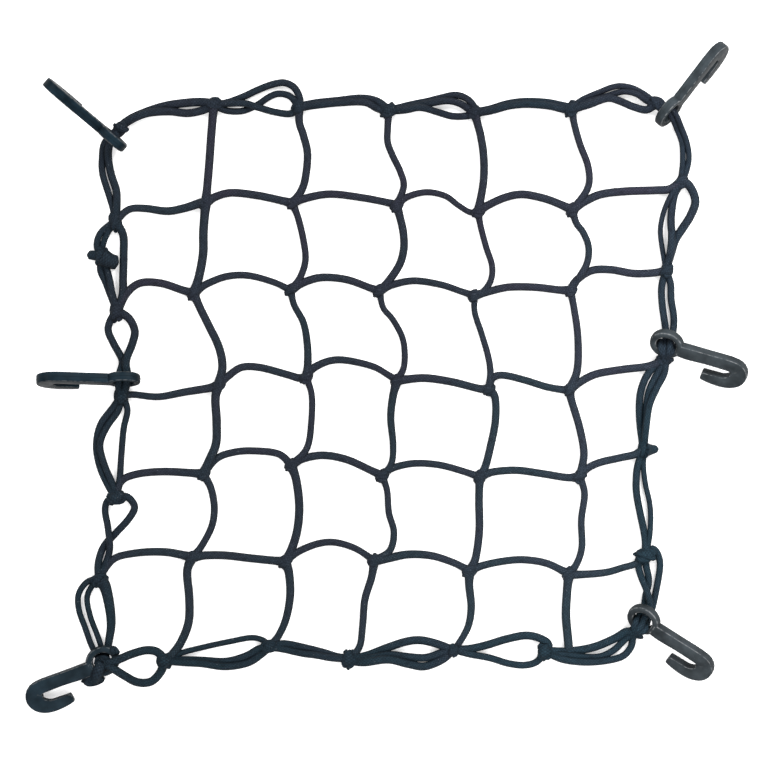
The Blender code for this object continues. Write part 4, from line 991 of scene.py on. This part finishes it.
@dataclass
class MouldedHook:
    """A J hook with a ring eye, a rounded section and a thin parting line round its edge."""

    eye_outer: float = 11.6
    eye_hole: float = 6.8
    eye_oval: float = 0.89
    thick: float = 6.7
    curl_reach: float = 40.0
    curl_drop: float = 20.5
    eye_corner: float = 1.7
    bar_corner: float = 0.9
    corner_most: float = 0.9
    corner_steps: int = 4
    eye_steps: int = 56
    bar_step: float = 1.6
    parting_high: float = 0.18
    parting_wide: float = 0.32
    tip_steps: int = 4
    tip_open: float = 0.35
    tip_reach: float = 0.9
    tip_narrows: float = 0.34
    sharp_angle: float = 38.0

    def axes(self, hook: Hook) -> tuple:
        """The hook's u, v and w directions: along the shank, towards the curl, and through it."""
        lean = math.radians(hook.lean)
        fall = (self.curl_drop - self.eye_outer * self.eye_oval) * math.sin(lean)
        rise = math.asin(fall / self.curl_reach) + math.radians(hook.tip)
        flat = Vector((hook.heading[0], hook.heading[1], 0.0)).normalized()
        up = Vector((0.0, 0.0, 1.0))
        u = flat * math.cos(rise) + up * math.sin(rise)
        down = flat * math.sin(rise) - up * math.cos(rise)
        v = Vector((-flat.y, flat.x, 0.0)) * hook.side * math.cos(lean) + down * math.sin(lean)
        return u, v, u.cross(v)

    def section(self, half_wide: float, round_by: float, shrink: float = 1.0) -> list:
        """Points of the rounded section as (across, thick), with the parting line on both sides."""
        half_thick = self.thick / 2.0 * shrink
        corner = min(round_by, half_thick * self.corner_most, half_wide * self.corner_most)
        quarter = [(half_wide + self.parting_high, 0.0), (half_wide, self.parting_wide / 2.0)]
        for step in range(self.corner_steps + 1):
            angle = math.pi / 2.0 * step / self.corner_steps
            quarter.append((half_wide - corner + corner * math.cos(angle),
                            half_thick - corner + corner * math.sin(angle)))
        points = quarter + [(-across, thick) for across, thick in reversed(quarter[1:])]
        points += [(-across, -thick) for across, thick in quarter]
        points += [(across, -thick) for across, thick in reversed(quarter[1:])]
        return points

    def skin(self, loops: list, closed: bool) -> bmesh.types.BMesh:
        """Skin a row of point loops into a closed shell."""
        mesh = bmesh.new()
        rings = [[mesh.verts.new(point) for point in loop] for loop in loops]
        pairs = list(zip(rings, rings[1:]))
        if closed:
            pairs.append((rings[-1], rings[0]))
        for near, far in pairs:
            for index in range(len(near)):
                after = (index + 1) % len(near)
                mesh.faces.new((near[index], near[after], far[after], far[index]))
        if not closed:
            mesh.faces.new(list(reversed(rings[0])))
            mesh.faces.new(rings[-1])
        return mesh

    def eye(self) -> bmesh.types.BMesh:
        """The ring eye round its own centre."""
        middle = (self.eye_outer + self.eye_hole) / 2.0
        section = self.section((self.eye_outer - self.eye_hole) / 2.0, self.eye_corner)
        loops = []
        for index in range(self.eye_steps):
            angle = 2.0 * math.pi * (index + 0.5) / self.eye_steps
            loops.append([((middle + a) * math.cos(angle), (middle + a) * math.sin(angle) * self.eye_oval, w)
                          for a, w in section])
        return self.skin(loops, closed=True)

    def bar(self) -> bmesh.types.BMesh:
        """The shank, curl and leg, with a rounded tip."""
        line = catmull_rom(np.array(HOOK_BAR), self.bar_step)
        loops = []
        for index, (u, v, wide) in enumerate(line):
            along = line[min(index + 1, len(line) - 1), :2] - line[max(index - 1, 0), :2]
            along = along / np.linalg.norm(along)
            section = self.section(wide / 2.0, self.bar_corner)
            loops.append([(u - along[1] * a, v + along[0] * a, w) for a, w in section])
        for step in range(1, self.tip_steps + 1):
            angle = math.pi / 2.0 * step / (self.tip_steps + self.tip_open)
            reach = self.tip_reach * math.sin(angle)
            shrink = 1.0 - self.tip_narrows * (1.0 - math.cos(angle))
            u, v, wide = line[-1]
            section = self.section(wide / 2.0 * shrink, self.bar_corner, shrink)
            loops.append([(u + along[0] * reach - along[1] * a, v + along[1] * reach + along[0] * a, w)
                          for a, w in section])
        return self.skin(loops, closed=False)

    def object_of(self, shell: bmesh.types.BMesh, name: str, hook: Hook, low: float) -> bpy.types.Object:
        """Set a shell down on its hook's place in the frame."""
        u, v, w = self.axes(hook)
        place = Vector((hook.x + NET_SHIFT[0], hook.y + NET_SHIFT[1], -low))
        for vert in shell.verts:
            vert.co = (u * vert.co.x + v * vert.co.y + w * vert.co.z + place) * MM
        bmesh.ops.recalc_face_normals(shell, faces=shell.faces)
        return put(name, mesh_of(shell, name))

    def lowest(self, hook: Hook) -> float:
        """The height of the hook's lowest point under its eye's centre."""
        u, v, w = self.axes(hook)
        low = 0.0
        for mesh in (self.eye(), self.bar()):
            low = min(low, min(u.z * p.co.x + v.z * p.co.y + w.z * p.co.z for p in mesh.verts))
            mesh.free()
        return low

    def build(self, node: str, hook: Hook, finish: bpy.types.Material) -> bpy.types.Object:
        """Make the dressed hook that stands for a node of the frame."""
        low = self.lowest(hook)
        piece = self.object_of(self.eye(), node + "_moulding", hook, low)
        bar = self.object_of(self.bar(), node + "_bar", hook, low)
        union = piece.modifiers.new("union", "BOOLEAN")
        union.operation = "UNION"
        union.solver = "EXACT"
        union.object = bar
        mesh = baked(piece)
        piece.data = mesh
        bpy.data.objects.remove(bar, do_unlink=True)
        mesh.materials.clear()
        mesh.materials.append(finish)
        mesh.shade_smooth()
        mesh.set_sharp_from_angle(angle=math.radians(self.sharp_angle))
        self.mark_edges(mesh, self.axes(hook)[2])
        LOG.info("%s: %d faces", piece.name, len(mesh.polygons))
        return piece

    def mark_edges(self, mesh: bpy.types.Mesh, through: Vector) -> None:
        """Store how near each point is to the rounded edges, for the edge wear and painted highlight colour.
        """
        edge = mesh.attributes.new("edge", "FLOAT", "POINT")
        for vert in mesh.vertices:
            facing = abs(vert.normal.dot(through))
            edge.data[vert.index].value = 1.0 - abs(2.0 * facing * facing - 1.0)


@dataclass
class Studio:
    """The pale floor, the soft light and the camera straight above the net."""

    view_wide: float = 0.5304
    view_centre: tuple = (0.00206, -0.0078)
    view_level: float = 0.0025
    camera_height: float = 2.0
    sensor: float = 36.0
    far: float = 10.0
    floor_half: float = 2.5
    floor_level: float = -0.0002
    floor_colour: tuple = (0.96, 0.96, 0.96, 1.0)
    floor_roughness: float = 0.9
    floor_shine: float = 0.1
    sky: float = 0.38
    glow: float = 0.4
    white: tuple = (1.0, 1.0, 1.0, 1.0)
    lamp_power: tuple = (27.0, 11.0, 10.0, 11.0)
    first_lamp: float = 52.0
    lamp_reach: float = 1.1
    lamp_height: float = 1.0
    lamp_size: float = 0.7

    def floor(self) -> None:
        """A plain pale floor under everything, lit a little from beneath."""
        shell = bmesh.new()
        bmesh.ops.create_grid(shell, x_segments=2, y_segments=2, size=self.floor_half)
        floor = put("studio_floor", mesh_of(shell, "studio_floor"))
        floor.location.z = self.floor_level
        material, build, shader = new_material("pale_floor")
        build.feed(shader, {
            "Base Color": self.floor_colour,
            "Roughness": self.floor_roughness,
            "Specular IOR Level": self.floor_shine,
            "Emission Color": self.white,
            "Emission Strength": self.glow,
        })
        floor.data.materials.append(material)

    def light(self) -> None:
        """Even light from all round, and soft lamps in a ring well above the floor."""
        world = bpy.data.worlds.new("studio_world")
        world.use_nodes = True
        background = world.node_tree.nodes["Background"]
        background.inputs["Color"].default_value = self.white
        background.inputs["Strength"].default_value = self.sky
        bpy.context.scene.world = world
        for index, power in enumerate(self.lamp_power):
            turn = math.radians(self.first_lamp + 360.0 * index / len(self.lamp_power))
            place = (self.lamp_reach * math.cos(turn), self.lamp_reach * math.sin(turn), self.lamp_height)
            data = bpy.data.lights.new("lamp", "AREA")
            data.size = self.lamp_size
            data.energy = power
            lamp = put("lamp", data)
            lamp.location = place
            lamp.rotation_euler = (-Vector(place)).to_track_quat("-Z", "Y").to_euler()

    def camera(self) -> None:
        """The camera straight above, its lens set so that the net just fills the view."""
        data = bpy.data.cameras.new("camera")
        data.sensor_width = self.sensor
        data.lens = self.sensor * (self.camera_height - self.view_level) / self.view_wide
        data.clip_end = self.far
        camera = put("camera", data)
        camera.location = (*self.view_centre, self.camera_height)
        bpy.context.scene.camera = camera

    def set_up(self) -> None:
        """Build the whole studio."""
        self.floor()
        self.light()
        self.camera()
        bpy.context.scene.view_settings.view_transform = "Standard"


@dataclass
class CargoNet:
    """The whole net: the rim and inner cords as two sheathed pieces, and six hooks."""

    # The third colour of each sheath is the painted shade in its braid's grooves.
    inner_finish: SheathFinish = SheathFinish(
        "inner_sheath", (0.021, 0.021, 0.033), (0.013, 0.023, 0.031), (0.004, 0.005, 0.008))
    rim_finish: SheathFinish = SheathFinish(
        "rim_sheath", (0.014, 0.018, 0.027), (0.009, 0.020, 0.028), (0.003, 0.004, 0.007))
    # The hook's second colour is the greyer colour towards the net's right; its third is the pale edge
    # colour, part wear and part painted highlight.
    hook_finish: PlasticFinish = PlasticFinish(
        "satin_plastic", (0.006, 0.013, 0.019), (0.033, 0.040, 0.045), (0.19, 0.195, 0.20))
    flat: tuple = (0.37, 0.38)
    area: float = 0.044
    pieces: list = field(default_factory=list)

    def cords(self, net_tones_and_shade: Tree) -> None:
        """Make the two corded pieces."""
        skinner = CordSkinner()
        tree = skinner.tree()
        braid = Braid().group()
        for name, cords, knots, finish, slot, node in (
                ("inner_cords", INNER_CORDS, INNER_KNOTS, self.inner_finish, Slot.INNER, "net_mesh"),
                ("rim_cords", RIM_CORDS, RIM_KNOTS | WRAPS, self.rim_finish, Slot.RIM, "rim_cord")):
            material = finish.material(braid, net_tones_and_shade)
            self.settle(skinner.skin(name, CordLayer(cords, knots).strands(), tree, material), node)

    def hooks(self, net_tones_and_shade: Tree) -> None:
        """Make the six hooks."""
        finish = self.hook_finish.material(net_tones_and_shade)
        for node, hook in HOOKS.items():
            self.settle(MouldedHook().build(node, hook, finish), node)

    def settle(self, piece: bpy.types.Object, node: str) -> None:
        """Let a piece ride and stand for its node."""
        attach(piece, BODY)
        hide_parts(node)
        self.pieces.append(piece)


def main() -> None:
    """Build the studio and the net, and report each piece."""
    logging.basicConfig(level=logging.INFO, format="%(name)s: %(message)s")
    Studio().set_up()
    net = CargoNet()
    net_tones_and_shade = NetTonesAndShade().group()
    net.cords(net_tones_and_shade)
    net.hooks(net_tones_and_shade)


if __name__ == "__main__":
    main()
